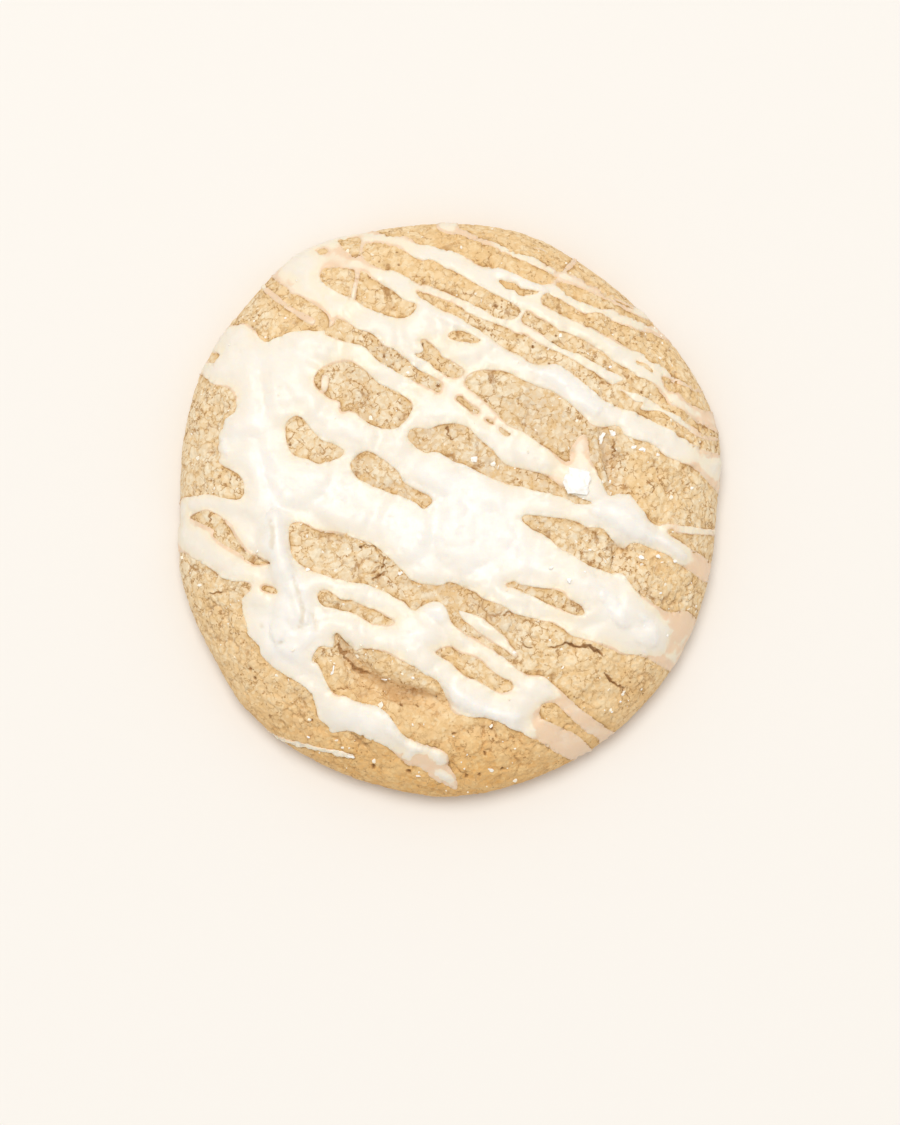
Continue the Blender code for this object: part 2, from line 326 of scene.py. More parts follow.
# Ridges of thick icing with clear edges, as strokes too.
ICING_RIDGES = {
    "pour": (
        (-28.4, -0.5, 0.8), (-27.8, -5.5, 0.9), (-26, -10, 0.9), (-24.8, -13.5, 0.8), (-23.2, -17.5, 0.7),
    ),
    "pour_foot": ((-27.5, -19, 1.2), (-25.5, -21.5, 1.6), (-22.5, -20, 0.8)),
    "drip": ((-7.3, -40.6, 0.3), (-5.6, -39, 0.6), (-3.6, -38.6, 0.6), (-1.6, -40, 0.6), (0, -41, 0.4)),
    "drip_side": ((-9.5, -35.2, 0.4), (-7.5, -37, 0.5), (-6, -38.2, 0.6)),
    "drip_tip": ((-1.8, -42.6, 0.3), (-0.4, -43.2, 0.5), (0.8, -44, 0.2)),
    "low_edge": ((6.4, -33.6, 0.3), (8, -34.2, 0.5), (9.6, -35, 0.2)),
    "low_run": ((-4, -26.5, 0.8), (0.5, -29.5, 1.0), (6, -32.5, 0.9), (11, -33.4, 0.7)),
    "right_lobe": ((24.2, 0.6, 0.6), (27.5, -0.4, 1.6), (31, -3, 1.2), (33.5, -4.6, 0.6)),
    "right_run": ((34.5, -4.2, 0.5), (36.6, -5.6, 0.7), (38.6, -7.2, 0.5)),
    "wide_run": ((25.5, -13.2, 0.6), (27.5, -15.8, 1.2), (28.6, -18, 0.6)),
    "wide_run_side": ((31.8, -17, 0.4), (33.4, -19, 0.7), (33.6, -21.4, 0.4)),
    "top_run": (
        (-8, 32.2, 0.8), (-3, 33.6, 1.0), (1.6, 31.6, 1.2), (7, 28.6, 1.0), (13, 25, 1.0), (19, 21, 1.1),
        (24, 17, 1.0),
    ),
    "left_spot": ((-36.8, 11.6, 0.9), (-36.4, 10.2, 0.9)),
    "middle_lobe": ((-3.5, -15.6, 0.8), (-1, -16.4, 1.1), (0.6, -18.4, 0.6)),
}

# Dark pits of the crust: x, y, radius.
PITS = (
    (8, 33.9, 0.5), (18, 28.9, 0.35), (-8.2, 42.6, 0.3), (-11.2, 41.2, 0.3), (-8, 40.7, 0.25),
    (9, 34.8, 0.25), (13.4, 32.6, 0.3), (17.4, 27.8, 0.3), (14, 27.2, 0.3), (7, 30.2, 0.25),
    (16.8, 24.6, 0.3), (-3.9, 27.5, 0.3), (-12, 26.3, 0.25), (-10.3, 25.6, 0.25), (-3.2, 20.8, 0.25),
    (-1.5, 20.9, 0.25), (-21.3, 20.9, 0.3), (-25.8, 11.1, 0.35), (-14.1, -5.6, 0.3), (32, 19.6, 0.25),
    (37, 22.6, 0.3), (1.3, -36.2, 0.4), (-12.2, -41.8, 0.4), (5.4, -43.1, 0.4), (3.2, -43.5, 0.35),
    (9.1, -42.2, 0.4), (7.3, -35.5, 0.4), (7.5, -37, 0.3), (6.3, -39.7, 0.35), (-6.3, -42.4, 0.4),
    (-7.4, -31.2, 0.4), (-5, -31.4, 0.35), (-32.4, -25.7, 0.35), (-31.6, -27.3, 0.35), (-29.1, -33.5, 0.35),
    (-22.2, -34.3, 0.35), (31.6, -13, 0.3), (-29.6, -8.5, 0.3),
)  # fmt: skip

# Bubbles that left small pits in the icing: x, y, radius.
BUBBLES = (
    (-27, -21, 0.3), (-26, -19.3, 0.25), (-30.2, -18.9, 0.25), (-28, -21.9, 0.2), (-23.8, -26.6, 0.25),
)  # fmt: skip

# Coarse sugar flakes: x, y, length, width, direction in degrees.
FLAKES = (
    (21.3, 5.1, 5.0, 4.2, 75), (4.6, 8.6, 2.4, 1.3, -15), (25.4, 12.1, 2.6, 1.0, 55),
    (27.2, 13.2, 2.1, 1.2, -50), (31.8, 10.2, 2.2, 0.9, -20), (30.6, 10.7, 1.2, 0.7, 10),
    (34.7, 9.3, 1.2, 0.7, -30), (27, 5.2, 1.0, 0.8, 0), (40.2, 4, 0.7, 0.6, 20),
    (-6.4, 22.8, 1.4, 0.6, -25), (26.8, 23.9, 0.8, 0.6, -30), (22.3, 2.3, 0.5, 0.4, 0),
    (31.9, -7.4, 1.4, 1.0, 30), (34.8, -7.1, 1.6, 0.8, -20), (37.3, -8, 0.8, 0.6, 0),
    (35, -13.2, 0.6, 0.5, 0), (40.6, -11.8, 0.9, 0.5, -35), (17.2, -9.2, 1.1, 0.9, 20),
    (20, -11.1, 1.2, 0.9, -10), (22.5, -9.8, 0.5, 0.4, 0), (-18.6, -26, 2.2, 0.7, 70),
    (-5.4, -27.2, 1.2, 0.6, -20), (-10.5, -27.7, 1.3, 0.5, 10), (11, -22.9, 0.8, 0.5, 0),
    (-7.7, -9.9, 1.0, 0.8, 30), (-15.8, -40, 1.4, 0.5, -15), (-4.7, -43.1, 1.0, 0.5, 0),
    (-22.8, -9.3, 0.9, 0.6, 15), (-31, -6.4, 0.7, 0.5, 40), (-26.5, 31.9, 0.5, 0.4, 0),
    (-29.8, 28.8, 0.5, 0.4, 0), (-31.6, 31.4, 0.4, 0.4, 0), (23.4, -6.1, 0.6, 0.5, 0),
    (28.5, -31, 0.5, 0.4, 0), (27, -32.7, 0.5, 0.4, 0), (-22.7, -36.8, 0.6, 0.5, 0),
    (32, -18.5, 0.7, 0.5, 20), (36, -20.1, 0.7, 0.5, -20),
)  # fmt: skip

# Where the icing lies thicker or thinner: x, y, length, width, direction in degrees, height.
ICING_SWELLINGS = (
    (-13.0, -34.0, 8.0, 3.5, -28, 0.1),
    (-3.5, -41.0, 6.5, 3.4, -35, -0.28),
    (21.5, 9.0, 4.0, 4.0, 0, -0.18),
    (-24.0, -38.0, 9.0, 1.6, -12, 0.1),
    (-27.6, -5.0, 7.0, 1.6, 97, 0.45),
    (-24.8, -14.0, 5.0, 2.0, 110, 0.3),
    (-27.0, -21.5, 5.0, 4.0, 60, 0.35),
    (-37.0, -3.0, 8.0, 7.0, 0, -0.1),
    (8.0, -33.6, 9.0, 1.2, -28, 0.3),
    (0.0, 2.0, 16.0, 8.0, -25, 0.25),
    (22.5, 18.5, 10.0, 2.4, -30, 0.3),
    (30.0, -1.2, 6.0, 2.6, -35, 0.3),
    (1.0, -14.0, 4.0, 2.4, -20, 0.25),
    (15.0, 37.0, 8.0, 1.4, -25, 0.15),
    (26.0, 33.0, 16.0, 11.0, -28, -0.05),
    (-21.0, 38.5, 9.0, 6.0, 10, -0.05),
    (38.0, -20.5, 3.6, 7.0, -25, -0.4),
    (20.5, -37.5, 7.0, 5.0, -30, -0.45),
    (24.0, -34.5, 6.0, 2.6, -40, -0.3),
    (42.5, 8.0, 3.0, 5.0, 0, -0.2),
    (41.5, -8.5, 4.0, 3.0, -35, -0.2),
)

# The chart and the grid of fields laid over it.
SLOPE_SAMPLES = 2000
GRID_SIDE = 62.0
GRID_STEP = 0.2
REACH = 4.0  # fields are cut off this far from the line they measure
PATH_STEPS = 6  # points per step of a smooth path
SLOPE_STEP = 0.12  # for the skin's slope
QUARTER_ROUND = 1.06  # a quarter of this ellipse is that much longer than its chord
NO_LENGTH = 1e-9  # keeps a stroke's step from dividing by nothing

GRID_LINE = np.arange(-GRID_SIDE, GRID_SIDE + GRID_STEP / 2, GRID_STEP)

# Smooth noises: the size of their bumps, and a seed that runs on by one for each axis.
NOISES = {
    "edge": (1.7, 0),
    "fine_edge": (0.7, 1),
    "warp": (1.1, 2),
    "lump_warp": (3.0, 6),
    "gap_share": (2.6, 9),
    "fine_warp": (0.6, 12),
    "crumb": (0.5, 15),
    "dimples": (1.5, 42),
    "runs": (5.0, 43),
    "run_warp": (3.0, 44),
    "fullness": (4.5, 48),
    "baked": (5.0, 50),
    "drip": (4.0, 51),
    "crack_jag": (0.5, 60),
    "crack_width": (1.2, 62),
    "pit_jag": (0.4, 63),
}

# The icing's edge and body.
THREAD_BLEND = 0.3
EDGE_WOBBLE = 0.12
DRIP_END = 1.7  # how far a strand of icing runs down the side, and how uneven that is
DRIP_UNEVEN = 2.2
DRIP_BLEND = 1.4
EDGE_WIDTH = 0.55
EDGE_HEIGHT = 0.42
EDGE_FULLNESS = 0.45  # 0 is a veil all round and 1 a crisp edge all round
FULLNESS_SPREAD = 0.6
BODY_FULLNESS = 1.5  # how much crisper the edge of a thick strand is
VEIL_SPAN = (-0.2, 1.3)  # depths in the icing over which a veil comes up
VEIL_HEIGHT = 0.2
POOL_HEIGHT = 0.4
POOL_SPAN = (0.3, 3.6)
POOL_BLUR = 1.6
INNER_SPAN = (0.2, 1.2)
RIM_THINNING = 0.15
THIN_RIM_SPAN = (38.0, 46.0)  # distances from the middle
THINNEST = 0.07
ICING_RIDGE_HEIGHT = 0.4
RIDGE_SPAN = (-0.35, 0.25)
ICING_PATCHY = 0.12
RUN_SIZES = (9.0, 3.6, 1.0)  # along the drizzle and across it
RUN_WARP = 1.2
RUN_EDGE = 0.12
RUN_UNEVEN = 0.5
RUN_SEED = 47
ICING_FURROW_DEPTH = 0.3
ICING_FURROW_SPAN = (-0.5, 0.1)
EDGE_SINK = 0.15  # how far its edge and underside are sunk into the crust
EDGE_SINK_REACH = 0.12
UNDER_SINK = 0.3
FOLLOW = 0.35  # how much of the crust's relief shows through a pool
FOLLOW_REACH = 0.9
RIDGE_HEIGHT = 0.1
DRIZZLE_SPAN = (0.6, 2.5)
DRIZZLE_NOISES = ((1.0, (11.0, 2.3, 1.0), 40), (0.4, (4.0, 1.1, 1.0), 41))  # share, sizes and seed
POOL_DIMPLE = 0.03
DIMPLED_SPAN = (0.3, 1.0)
BUBBLE_DEPTH = 0.35
DRIZZLE_DIRECTION = -30.0
# Depth in the icing of each ring of points, and their spacing.
ICING_RINGS = ((0.0, 0.3), (0.12, 0.3), (0.35, 0.35), (0.75, 0.45))
SHORTEST_RING = 8
FEWEST_IN_RING = 5
POOL_SPACING = 0.55
ICING_POINTS_SEED = 2

# The crust's relief, under the skin of the solid.
CRUST_LEVEL = -0.3
WARP = 0.3
FINE_WARP = 0.28
LUMP_WARP = 0.9
LUMP_SIZE = 2.8
LUMP_SEED = 5
LUMP_HEIGHT = 0.4
LUMP_MIDDLE = 0.45  # the squared distance from its centre, in cell sizes, at which a lump adds no height
LUMP_STEP = 0.3
GAP_DEPTH = 0.28
GAP_WIDTH = 0.14
GAP_SHARE = (-0.2, 0.4)  # the noise over which the gaps between lumps come up
LEAST_GAP = 0.1
FINE_SIZE = 1.0
FINE_SEED = 10
FINE_HEIGHT = 0.26
FINE_MIDDLE = 0.35
FINE_GAP_DEPTH = 0.08
FINE_GAP_WIDTH = 0.25
DOME_SPAN = (0.15, 0.75)
DOME_LEAST = 0.35
CRUMB_HEIGHT = 0.08
PIT_DEPTH = 0.45
PIT_SHARE = 0.75
PIT_JAG = 0.15
PIT_SLOPE = (0.5, 1.3)  # shares of the radius left by the share above
CRACK_DEPTH = 0.45
CRACK_SLOPE = 0.1
CRACK_JAG = 0.3
CRACK_UNEVEN = 0.08
CRACK_SPACING = 0.15
CRACK_UNDER = 0.2  # how deep in the icing a crack still gets its close points
FURROW_DEPTH = 1.0
FURROW_SLOPE = 1.2
SIDE_CALM = 0.6  # how much smoother the side is than the top
SIDE_FADE = 9.0
FOOT_FADE = 0.5
UNDER_ICING = 0.35
UNDER_SLOPE = 1.2
# What the crust's material reads on the flat base.
BASE_VALUES = {
    "lump_line": 1.0,
    "crack": -REACH,
    "pit": 0.0,
    "fold": 0.0,
    "dome": 0.0,
    "lump": 0.4,
    "from_icing": REACH,
}
# How brown the crust is, 0 to 1: more at the rim, low on the side and on the near side, there partly painted
# shade.
BAKED_MIDDLE = 0.08
BAKED_OUT = 0.2
BAKED_LOW = 0.25
NEAR_BAKE_AND_SHADE = 0.66
BAKED_UNEVEN = 0.12
OUT_SPAN = (16.0, 45.0)
LOW_SPAN = (0.5, 6.0)
NEAR_SPAN = (12.0, 50.0)
# Patches of it as the camera sees them: x, y, length, width, direction in degrees, and how much browner.
BROWN_AND_SHADE_PATCHES = (
    (4.0, 42.0, 22.0, 7.0, -8, 0.36),
    (33.0, 28.0, 14.0, 7.0, -45, 0.18),
    (-27.0, 30.0, 6.0, 6.0, 0, 0.15),
    (0.0, 30.0, 14.0, 5.0, -25, 0.2),
    (31.0, 4.0, 6.0, 12.0, 0, 0.28),
    # Greyer in the right crease: painted shade in that crease.
    (26.0, 7.0, 2.6, 6.5, 0, -0.5),
    (37.0, -9.0, 8.0, 6.0, -30, 0.18),
    (-9.0, 1.0, 6.0, 3.0, -20, -0.15),
    (1.0, -11.0, 9.0, 4.0, -20, -0.15),
    (-19.0, -4.0, 12.0, 5.0, -15, 0.05),
    (-33.0, -20.0, 9.0, 10.0, 20, 0.2),
    # Browner in the fold below the middle: painted shade in the fold.
    (-10.0, -30.0, 12.0, 4.0, -20, 0.15),
    (28.0, -24.0, 10.0, 5.0, -25, 0.15),
    # Browner along the near rim: partly baking, partly painted shade.
    (2.0, -47.0, 20.0, 4.0, 0, 0.2),
)
# Spacing of the crust's points, and from and to which depth in the icing.
CRUST_SPACINGS = ((0.255, -9.0, 0.35), (0.55, 0.35, 1.2), (1.3, 1.2, 9.0))
POINT_JITTER = 0.36
SIDE_START = 0.5
SIDE_SHARE = 0.5  # share of the points kept on the side, which is seen less closely
FOOT_POINTS = 560
FOOT_CLEAR = 0.15
BASE_SPACING = 1.2
BASE_POINTS_SEED = 1
BASE_CELL = 2.4
BASE_SEED = 30
BASE_DIMPLE = 0.25
DIMPLE_SPAN = (0.2, 0.6)
CDT_TOLERANCE = 1e-5

# Sugar.
CRYSTAL_POINTS = 14
CRYSTALS_PER_AREA = 0.7
CRYSTAL_LENGTHS = (0.4, 0.75)  # shares of the flake
CRYSTAL_WIDTHS = (0.6, 0.9)
CRYSTAL_TURN = 0.6
FLAKES_SEED = 3
FLAKE_THICKNESSES = (0.6, 0.8)  # shares of its width
FLAKE_THICKEST = 1.4
FLAKE_LIFT = 0.3
GRAINS_SEED = 4
GRAIN_FORM = (1.0, 0.9, 0.8)
GRAIN_LIFT = 0.1
GRAIN_KINDS = 12
GRAIN_COUNT = 420
GRAINS_ON_ICING = 0.1
GRAIN_REACH = 0.98
GRAIN_SIZES = (0.22, 0.42)

# Colours, in linear light.
CRUMB_BEIGE = (0.72, 0.575, 0.405, 1.0)
CRUMB_CREAM = (0.86, 0.735, 0.535, 1.0)
CRUMB_GOLD = (0.875, 0.64, 0.36, 1.0)
# The brownest crumb; on the near side and in the fold it also carries painted shade.
CRUMB_BAKED_AND_SHADE = (0.77, 0.405, 0.11, 1.0)
CRUMB_PALE = (0.92, 0.82, 0.62, 1.0)
CRUMB_BAKED_PALE = (0.88, 0.63, 0.30, 1.0)
CRUMB_TOASTED = (0.74, 0.49, 0.22, 1.0)
CRUMB_ICING_BAND = (0.70, 0.44, 0.17, 1.0)
CRUMB_BROWN = (0.38, 0.18, 0.05, 1.0)
CRUMB_DARK = (0.17, 0.08, 0.02, 1.0)
ICING_VEIL = (0.90, 0.79, 0.615, 1.0)
ICING_GLAZE = (0.86, 0.625, 0.43, 1.0)
ICING_CREAM = (0.87, 0.80, 0.69, 1.0)
ICING_WHITE = (0.88, 0.84, 0.775, 1.0)
ICING_SHADE = (0.78, 0.70, 0.57, 1.0)
SUGAR_WHITE = (1.0, 0.99, 0.97, 1.0)
SUGAR_CREAM = (0.95, 0.90, 0.80, 1.0)
SUGAR_WARM = (0.92, 0.81, 0.60, 1.0)
FLOOR_COLOUR = (0.86, 0.83, 0.785, 1.0)
FLOOR_SHADE = (0.855, 0.825, 0.78, 1.0)
WORLD_COLOUR = (1.0, 0.985, 0.97, 1.0)

# Textures of the crust: bumps for each metre and detail.
CRUST_TEXTURES = {
    "golden": (200.0,),
    "crowded": (150.0,),
    "patches": (420.0,),
    "fine": (1100.0, 4.0),
    "specks": (950.0, 2.0),
    "grit": (2400.0, 5.0),
}
EDGE_NETWORK = (480.0, 900.0, 0.0022)  # scale, and the scale and size of its bends
GRANULE_SCALE = 1700.0
DOT_SCALE = 1250.0
# Share of the pale tint on the lump tops: partly painted light and shade, partly crumb toasted in the
# hollows.
DOME_LIGHT = 0.5
ICING_BAND_REACH = 1.1
# Masks of the crust: the value each comes from, the span of it, and the mask at each end of the span.
CRUST_MASKS = {
    "baked": ("bake", (0.2, 1.0)),
    "calm": ("bake", (0.3, 0.6, 1.0, 0.7)),
    "busy": ("crowded", (0.4, 0.6, 0.4, 1.0)),
    "icing_band": ("patches", (0.42, 0.6, 0.0, 0.6)),
    "broken": ("patches", (0.4, 0.55, 0.35, 1.0)),
    "brink": ("patches", (0.5, 0.6)),
    "dashed": ("specks", (0.42, 0.55)),
    "dotted": ("dot_number", (0.5, 0.55)),
    "by_edge": ("edge", (0.08, 0.16, 1.0, 0.15)),
}
# Tints laid over the crust in turn: the value that lays each on, the span of it and the share of tint at
# each end of the span, the tint, and the masks that hold it back. "light" is the pale tint of the plates.
CRUST_BASE_TINTS = (
    ("bake", (0.0, 0.2), CRUMB_CREAM),
    ("bake", (0.2, 0.45), CRUMB_GOLD),
    ("bake", (0.45, 1.0), CRUMB_BAKED_AND_SHADE),
    ("golden", (0.45, 0.65, 0.0, 0.3), CRUMB_GOLD),
)
CRUST_TINTS = (
    ("lump", (0.3, 0.8, 0.25, 0.0), CRUMB_TOASTED),
    ("edge", (0.02, 0.17, 0.6, 0.0), CRUMB_TOASTED, "calm"),
    ("granule_number", (0.55, 0.8, 0.0, 0.35), CRUMB_TOASTED),
    ("granule_number", (0.2, 0.45, 0.5, 0.0), "light"),
    ("fine", (0.55, 0.75, 0.0, 0.45), CRUMB_TOASTED),
    # Browner in a band along the icing's edge, in patches.
    ("from_icing", (0.1, ICING_BAND_REACH, 1.0, 0.0), CRUMB_ICING_BAND, "icing_band"),
    # Browner in the fold between two mounds: painted shade in the fold.
    ("fold", (0.65, 1.0, 0.0, 0.4), CRUMB_BROWN),
    ("lump_line", (0.0, 0.1, 0.75, 0.0), CRUMB_BROWN, "broken", "calm"),
    ("edge", (0.015, 0.06, 0.85, 0.0), CRUMB_BROWN, "dashed", "busy", "calm"),
    ("dot", (0.14, 0.28, 0.95, 0.0), CRUMB_BROWN, "dotted", "by_edge", "busy"),
    ("from_icing", (0.0, 0.25, 0.6, 0.0), CRUMB_BROWN, "brink"),
    # Brown to dark in pits and cracks: partly the crust's own brown, partly painted shade in these hollows.
    ("pit", (0.1, 0.6, 0.0, 0.8), CRUMB_BROWN),
    ("crack", (-0.12, 0.0, 0.0, 0.8), CRUMB_BROWN),
    ("pit", (0.6, 1.0, 0.0, 0.7), CRUMB_DARK),
    ("crack", (0.02, 0.1, 0.0, 0.7), CRUMB_DARK),
)
CRUST_ROUGHNESS = (0.3, 0.7, 0.72, 0.92)
CRUST_BUMP = (0.0002, 1.0)  # distance in metres, and strength

ICING_TEXTURES = {"mottle": (260.0, 4.0), "grain": (2500.0, 2.0)}
ICING_TINTS = (
    ("thick", (0.06, 0.14), ICING_VEIL),
    ("thick", (0.12, 0.4), ICING_CREAM),
    ("thick", (0.4, 0.95), ICING_WHITE),
    ("mottle", (0.5, 0.75, 0.0, 0.35), ICING_CREAM),
    # Greyer where the icing's surface dips, in its furrows, bubbles and between ridges: painted shade.
    ("ridge", (-0.3, -0.04, 0.85, 0.0), ICING_SHADE),
)
ICING_ROUGHNESS = (0.35, 0.7, 0.32, 0.48)
ICING_BUMP = (0.00003, 0.5)
ICING_CLEAR_SHARE = 0.3  # how much of the light goes into the icing, how far, and how far in each colour
ICING_CLEAR_DEPTH = 0.0006
ICING_CLEAR_DEPTHS = (1.0, 0.75, 0.5)
FROST_TEXTURE = (1500.0, 3.0)
FROST_SPAN = (0.4, 0.7)
SUGAR_ROUGHNESS = (0.3, 0.7, 0.2, 0.45)

# Stage.
FLOOR_HALF = 1500.0
FLOOR_GAP = 0.02
FLOOR_GRAIN = 300.0
FLOOR_ROUGHNESS = 0.9
WORLD_STRENGTH = 0.66
# Name, place, size, power and colour of the light.
KEY_LIGHT = ("key", (-200.0, 720.0, 2850.0), 1600.0, 46.0, (1.0, 0.985, 0.96))
PICTURE_SIZE = (900, 1125)


def smoothstep(low, high, value):
    share = np.clip((value - low) / (high - low), 0.0, 1.0)
    return share * share * (3.0 - 2.0 * share)


def hash01(cells, seed):
    """A repeatable number from 0 to 1 for each row of whole-number cell coordinates."""
    mixed = cells @ np.array(HASH_MIX) + seed * HASH_SEED_STEP
    return np.modf(np.abs(np.sin(mixed) * HASH_SPREAD))[0]


def cells_round(points, size, seed):
    """Distances to the two nearest cell centres, in cell sizes, and a number of the nearest cell."""
    scaled = points / size
    home = np.floor(scaled)
    nearest = np.full(len(points), np.inf)
    second = nearest.copy()
    number = np.zeros(len(points))
    for step in itertools.product((-1, 0, 1), repeat=3):
        cell = home + step
        centre = cell + np.stack([hash01(cell, seed + k) for k in range(3)], axis=1)
        distance = np.linalg.norm(scaled - centre, axis=1)
        closer = distance < nearest
        second = np.where(closer, nearest, np.minimum(second, distance))
        number = np.where(closer, hash01(cell, seed + 3), number)
        nearest = np.where(closer, distance, nearest)
    return nearest, second, number


def noise(points, size, seed):
    """Smooth noise from -1 to 1, with bumps of about that size."""
    scaled = points / size
    home = np.floor(scaled)
    share = smoothstep(0.0, 1.0, scaled - home)
    total = np.zeros(len(points))
    for step in itertools.product((0, 1), repeat=3):
        weight = np.prod(np.where(np.array(step) == 1, share, 1.0 - share), axis=1)
        total += weight * hash01(home + step, seed)
    return 2.0 * total - 1.0


def noise_moves(points, name, axes):
    """Moves along each axis by the noise of that name."""
    size, seed = NOISES[name]
    return np.stack([noise(points, size, SEED + seed + k) for k in range(axes)], axis=1)


def named_noise(points, name):
    return noise_moves(points, name, 1)[:, 0]


# The skin of the solid.


def polar(points):
    """Distance from the middle and angle of each point."""
    return np.hypot(points[:, 0], points[:, 1]), np.arctan2(points[:, 1], points[:, 0])


def from_polar(radius, angle, *columns):
    return np.stack([radius * np.cos(angle), radius * np.sin(angle), *columns], axis=1)


def catmull_rom(before, start, end, after, t):
    """The smooth curve from start to end, at shares t of the way."""
    bend = 2.0 * before - 5.0 * start + 4.0 * end - after
    turn = 3.0 * (start - end) + after - before
    return start + 0.5 * t * (end - before + t * (bend + t * turn))


def rim_radius(angle):
    """Radius of the outline at each angle: a closed smooth curve through the rim radii."""
    radii = np.array(RIM_RADII)
    place = np.mod(angle / math.tau, 1.0) * len(radii)
    index = np.floor(place).astype(int)
    near = (radii[(index + k) % len(radii)] for k in (-1, 0, 1, 2))
    return catmull_rom(*near, place - index)


def dome_height(share):
    rise = np.clip(1.0 - share**DOME_POWER, 0.0, 1.0) ** SHOULDER_POWER
    return WAIST_HEIGHT + (DOME_HEIGHT - WAIST_HEIGHT) * rise


def slope_table():
    """Shares of the radius, and the way down the dome to each."""
    shares = np.linspace(0.0, 1.0, SLOPE_SAMPLES)
    steps = np.hypot(np.diff(shares) * np.mean(RIM_RADII), np.diff(dome_height(shares)))
    return shares, np.concatenate([[0.0], np.cumsum(steps)])


SLOPE_SHARES, SLOPE_WAYS = slope_table()
TOP_RUN = SLOPE_WAYS[-1]
SIDE_RUN = math.hypot(WAIST_HEIGHT, FOOT_INSET) * QUARTER_ROUND
FOOT_RUN = TOP_RUN + SIDE_RUN


def turned(x, y, direction):
    """Distance along a direction in degrees, and across it."""
    turn = math.radians(direction)
    return x * math.cos(turn) + y * math.sin(turn), y * math.cos(turn) - x * math.sin(turn)


def swellings(table, x, y):
    """Height at each place of the broad swellings and dips in the table."""
    total = np.zeros_like(x)
    for centre_x, centre_y, length, width, direction, height in table:
        along, across = turned(x - centre_x, y - centre_y, direction)
        total += height * np.exp(-((along / length) ** 2) - (across / width) ** 2)
    return total


def plates(points):
    nearest, second, _ = cells_round(points, PLATE_SIZE, PLATE_SEED)
    crease = 1.0 - smoothstep(0.0, CREASE_WIDTH, second - nearest)
    return PLATE_RELIEF * (PLATE_BULGE * (1.0 - nearest) - CREASE_DEPTH * crease)


def skin(chart):
    """Points of the solid's skin at chart points."""
    run, angle = polar(chart)
    share = np.interp(run, SLOPE_WAYS, SLOPE_SHARES)
    turn = np.clip((run - TOP_RUN) / SIDE_RUN, 0.0, 1.0) * math.pi / 2
    radius = rim_radius(angle) * share - FOOT_INSET * (1.0 - np.cos(turn))
    points = from_polar(radius, angle, dome_height(share) - WAIST_HEIGHT * np.sin(turn))
    fade = 1.0 - smoothstep(RELIEF_EDGE, 1.0, share)
    points[:, 2] += fade * (swellings(SWELLINGS, points[:, 0], points[:, 1]) + plates(points))
    return points


def skin_and_normals(chart):
    """Points of the skin and the directions that face out of it."""
    across, up = (skin(chart + way) - skin(chart - way) for way in SLOPE_STEP * np.eye(2))
    normals = np.cross(across, up)
    return skin(chart), normals / np.linalg.norm(normals, axis=1, keepdims=True)


# The layout on the chart.


def camera_place():
    """Where the camera stands, and what it aims at."""
    back = np.array([0.0, -math.cos(CAMERA_ELEVATION), math.sin(CAMERA_ELEVATION)])
    target = np.array([*VIEW_CENTRE, WAIST_HEIGHT])
    return target + CAMERA_DISTANCE * back, target


def to_skin(layout):
    """x and y on the cookie of what the camera sees at layout points."""
    camera, target = camera_place()
    offset = layout - np.array(LAYOUT_CENTRE)
    ray = target + offset[:, :1] * CAMERA_RIGHT + offset[:, 1:] * CAMERA_UP - camera
    place = layout.astype(float)
    for _ in range(SETTLING_ROUNDS):  # the height under each point changes as the point moves
        radius, angle = polar(place)
        height = dome_height(np.minimum(radius / rim_radius(angle), 1.0))
        place = (camera + ray * ((height - camera[2]) / ray[:, 2])[:, None])[:, :2]
    return place


def seen_at(points):
    """Layout points where the camera sees points of the cookie."""
    camera, target = camera_place()
    offset = points - camera
    scale = CAMERA_DISTANCE**2 / (offset @ (target - camera))
    return np.stack([offset @ CAMERA_RIGHT * scale, offset @ CAMERA_UP * scale], axis=1) + LAYOUT_CENTRE


def place_to_chart(place):
    """Chart points of x and y places. One past the rim runs as far down the side as it lies outside."""
    radius, angle = polar(place)
    rim = rim_radius(angle)
    run = np.interp(radius / rim, SLOPE_SHARES, SLOPE_WAYS) + np.maximum(radius - rim, 0.0)
    return from_polar(run, angle)


def smooth_path(points, closed=False):
    """A smooth curve through the rows of points, all of whose columns run smoothly."""
    points = np.array(points, float)
    count = len(points)
    steps = np.arange(count if closed else count - 1)
    rows = [(steps + k) % count if closed else np.clip(steps + k, 0, count - 1) for k in (-1, 0, 1, 2)]
    t = np.linspace(0.0, 1.0, PATH_STEPS, endpoint=False)[None, :, None]
    curve = catmull_rom(*(points[row][:, None] for row in rows), t).reshape(-1, points.shape[1])
    return np.vstack([curve, points[:1] if closed else points[-1:]])


def chart_path(points, closed=False):
    """The curve through layout points, on the chart. A third column is its half width."""
    path = smooth_path(points, closed)
    width = path[:, 2:] if path.shape[1] > 2 else np.zeros((len(path), 1))
    return np.hstack([place_to_chart(to_skin(path[:, :2])), width])


# Fields on the grid.


def nodes_from(value, rounding):
    return rounding((value + GRID_SIDE) / GRID_STEP).astype(int)


def window_round(points, margin):
    """Rows and columns of the grid round the points."""
    low = nodes_from(points[:, :2].min(axis=0) - margin, np.floor)
    high = nodes_from(points[:, :2].max(axis=0) + margin, np.ceil) + 1
    low, high = np.clip(low, 0, len(GRID_LINE)), np.clip(high, 0, len(GRID_LINE))
    return slice(low[1], high[1]), slice(low[0], high[0])


def draw_stroke(field, path):
    """Raises the field to how deep each node lies in the stroke: its half width less the distance to it."""
    for start, end in zip(path[:-1], path[1:]):
        window = window_round(np.array([start, end]), REACH)
        from_x = GRID_LINE[window[1]][None] - start[0]
        from_y = GRID_LINE[window[0]][:, None] - start[1]
        way = end - start
        share = (from_x * way[0] + from_y * way[1]) / max(way[0] ** 2 + way[1] ** 2, NO_LENGTH)
        share = np.clip(share, 0.0, 1.0)
        distance = np.hypot(from_x - share * way[0], from_y - share * way[1])
        field[window] = np.maximum(field[window], start[2] + share * way[2] - distance)


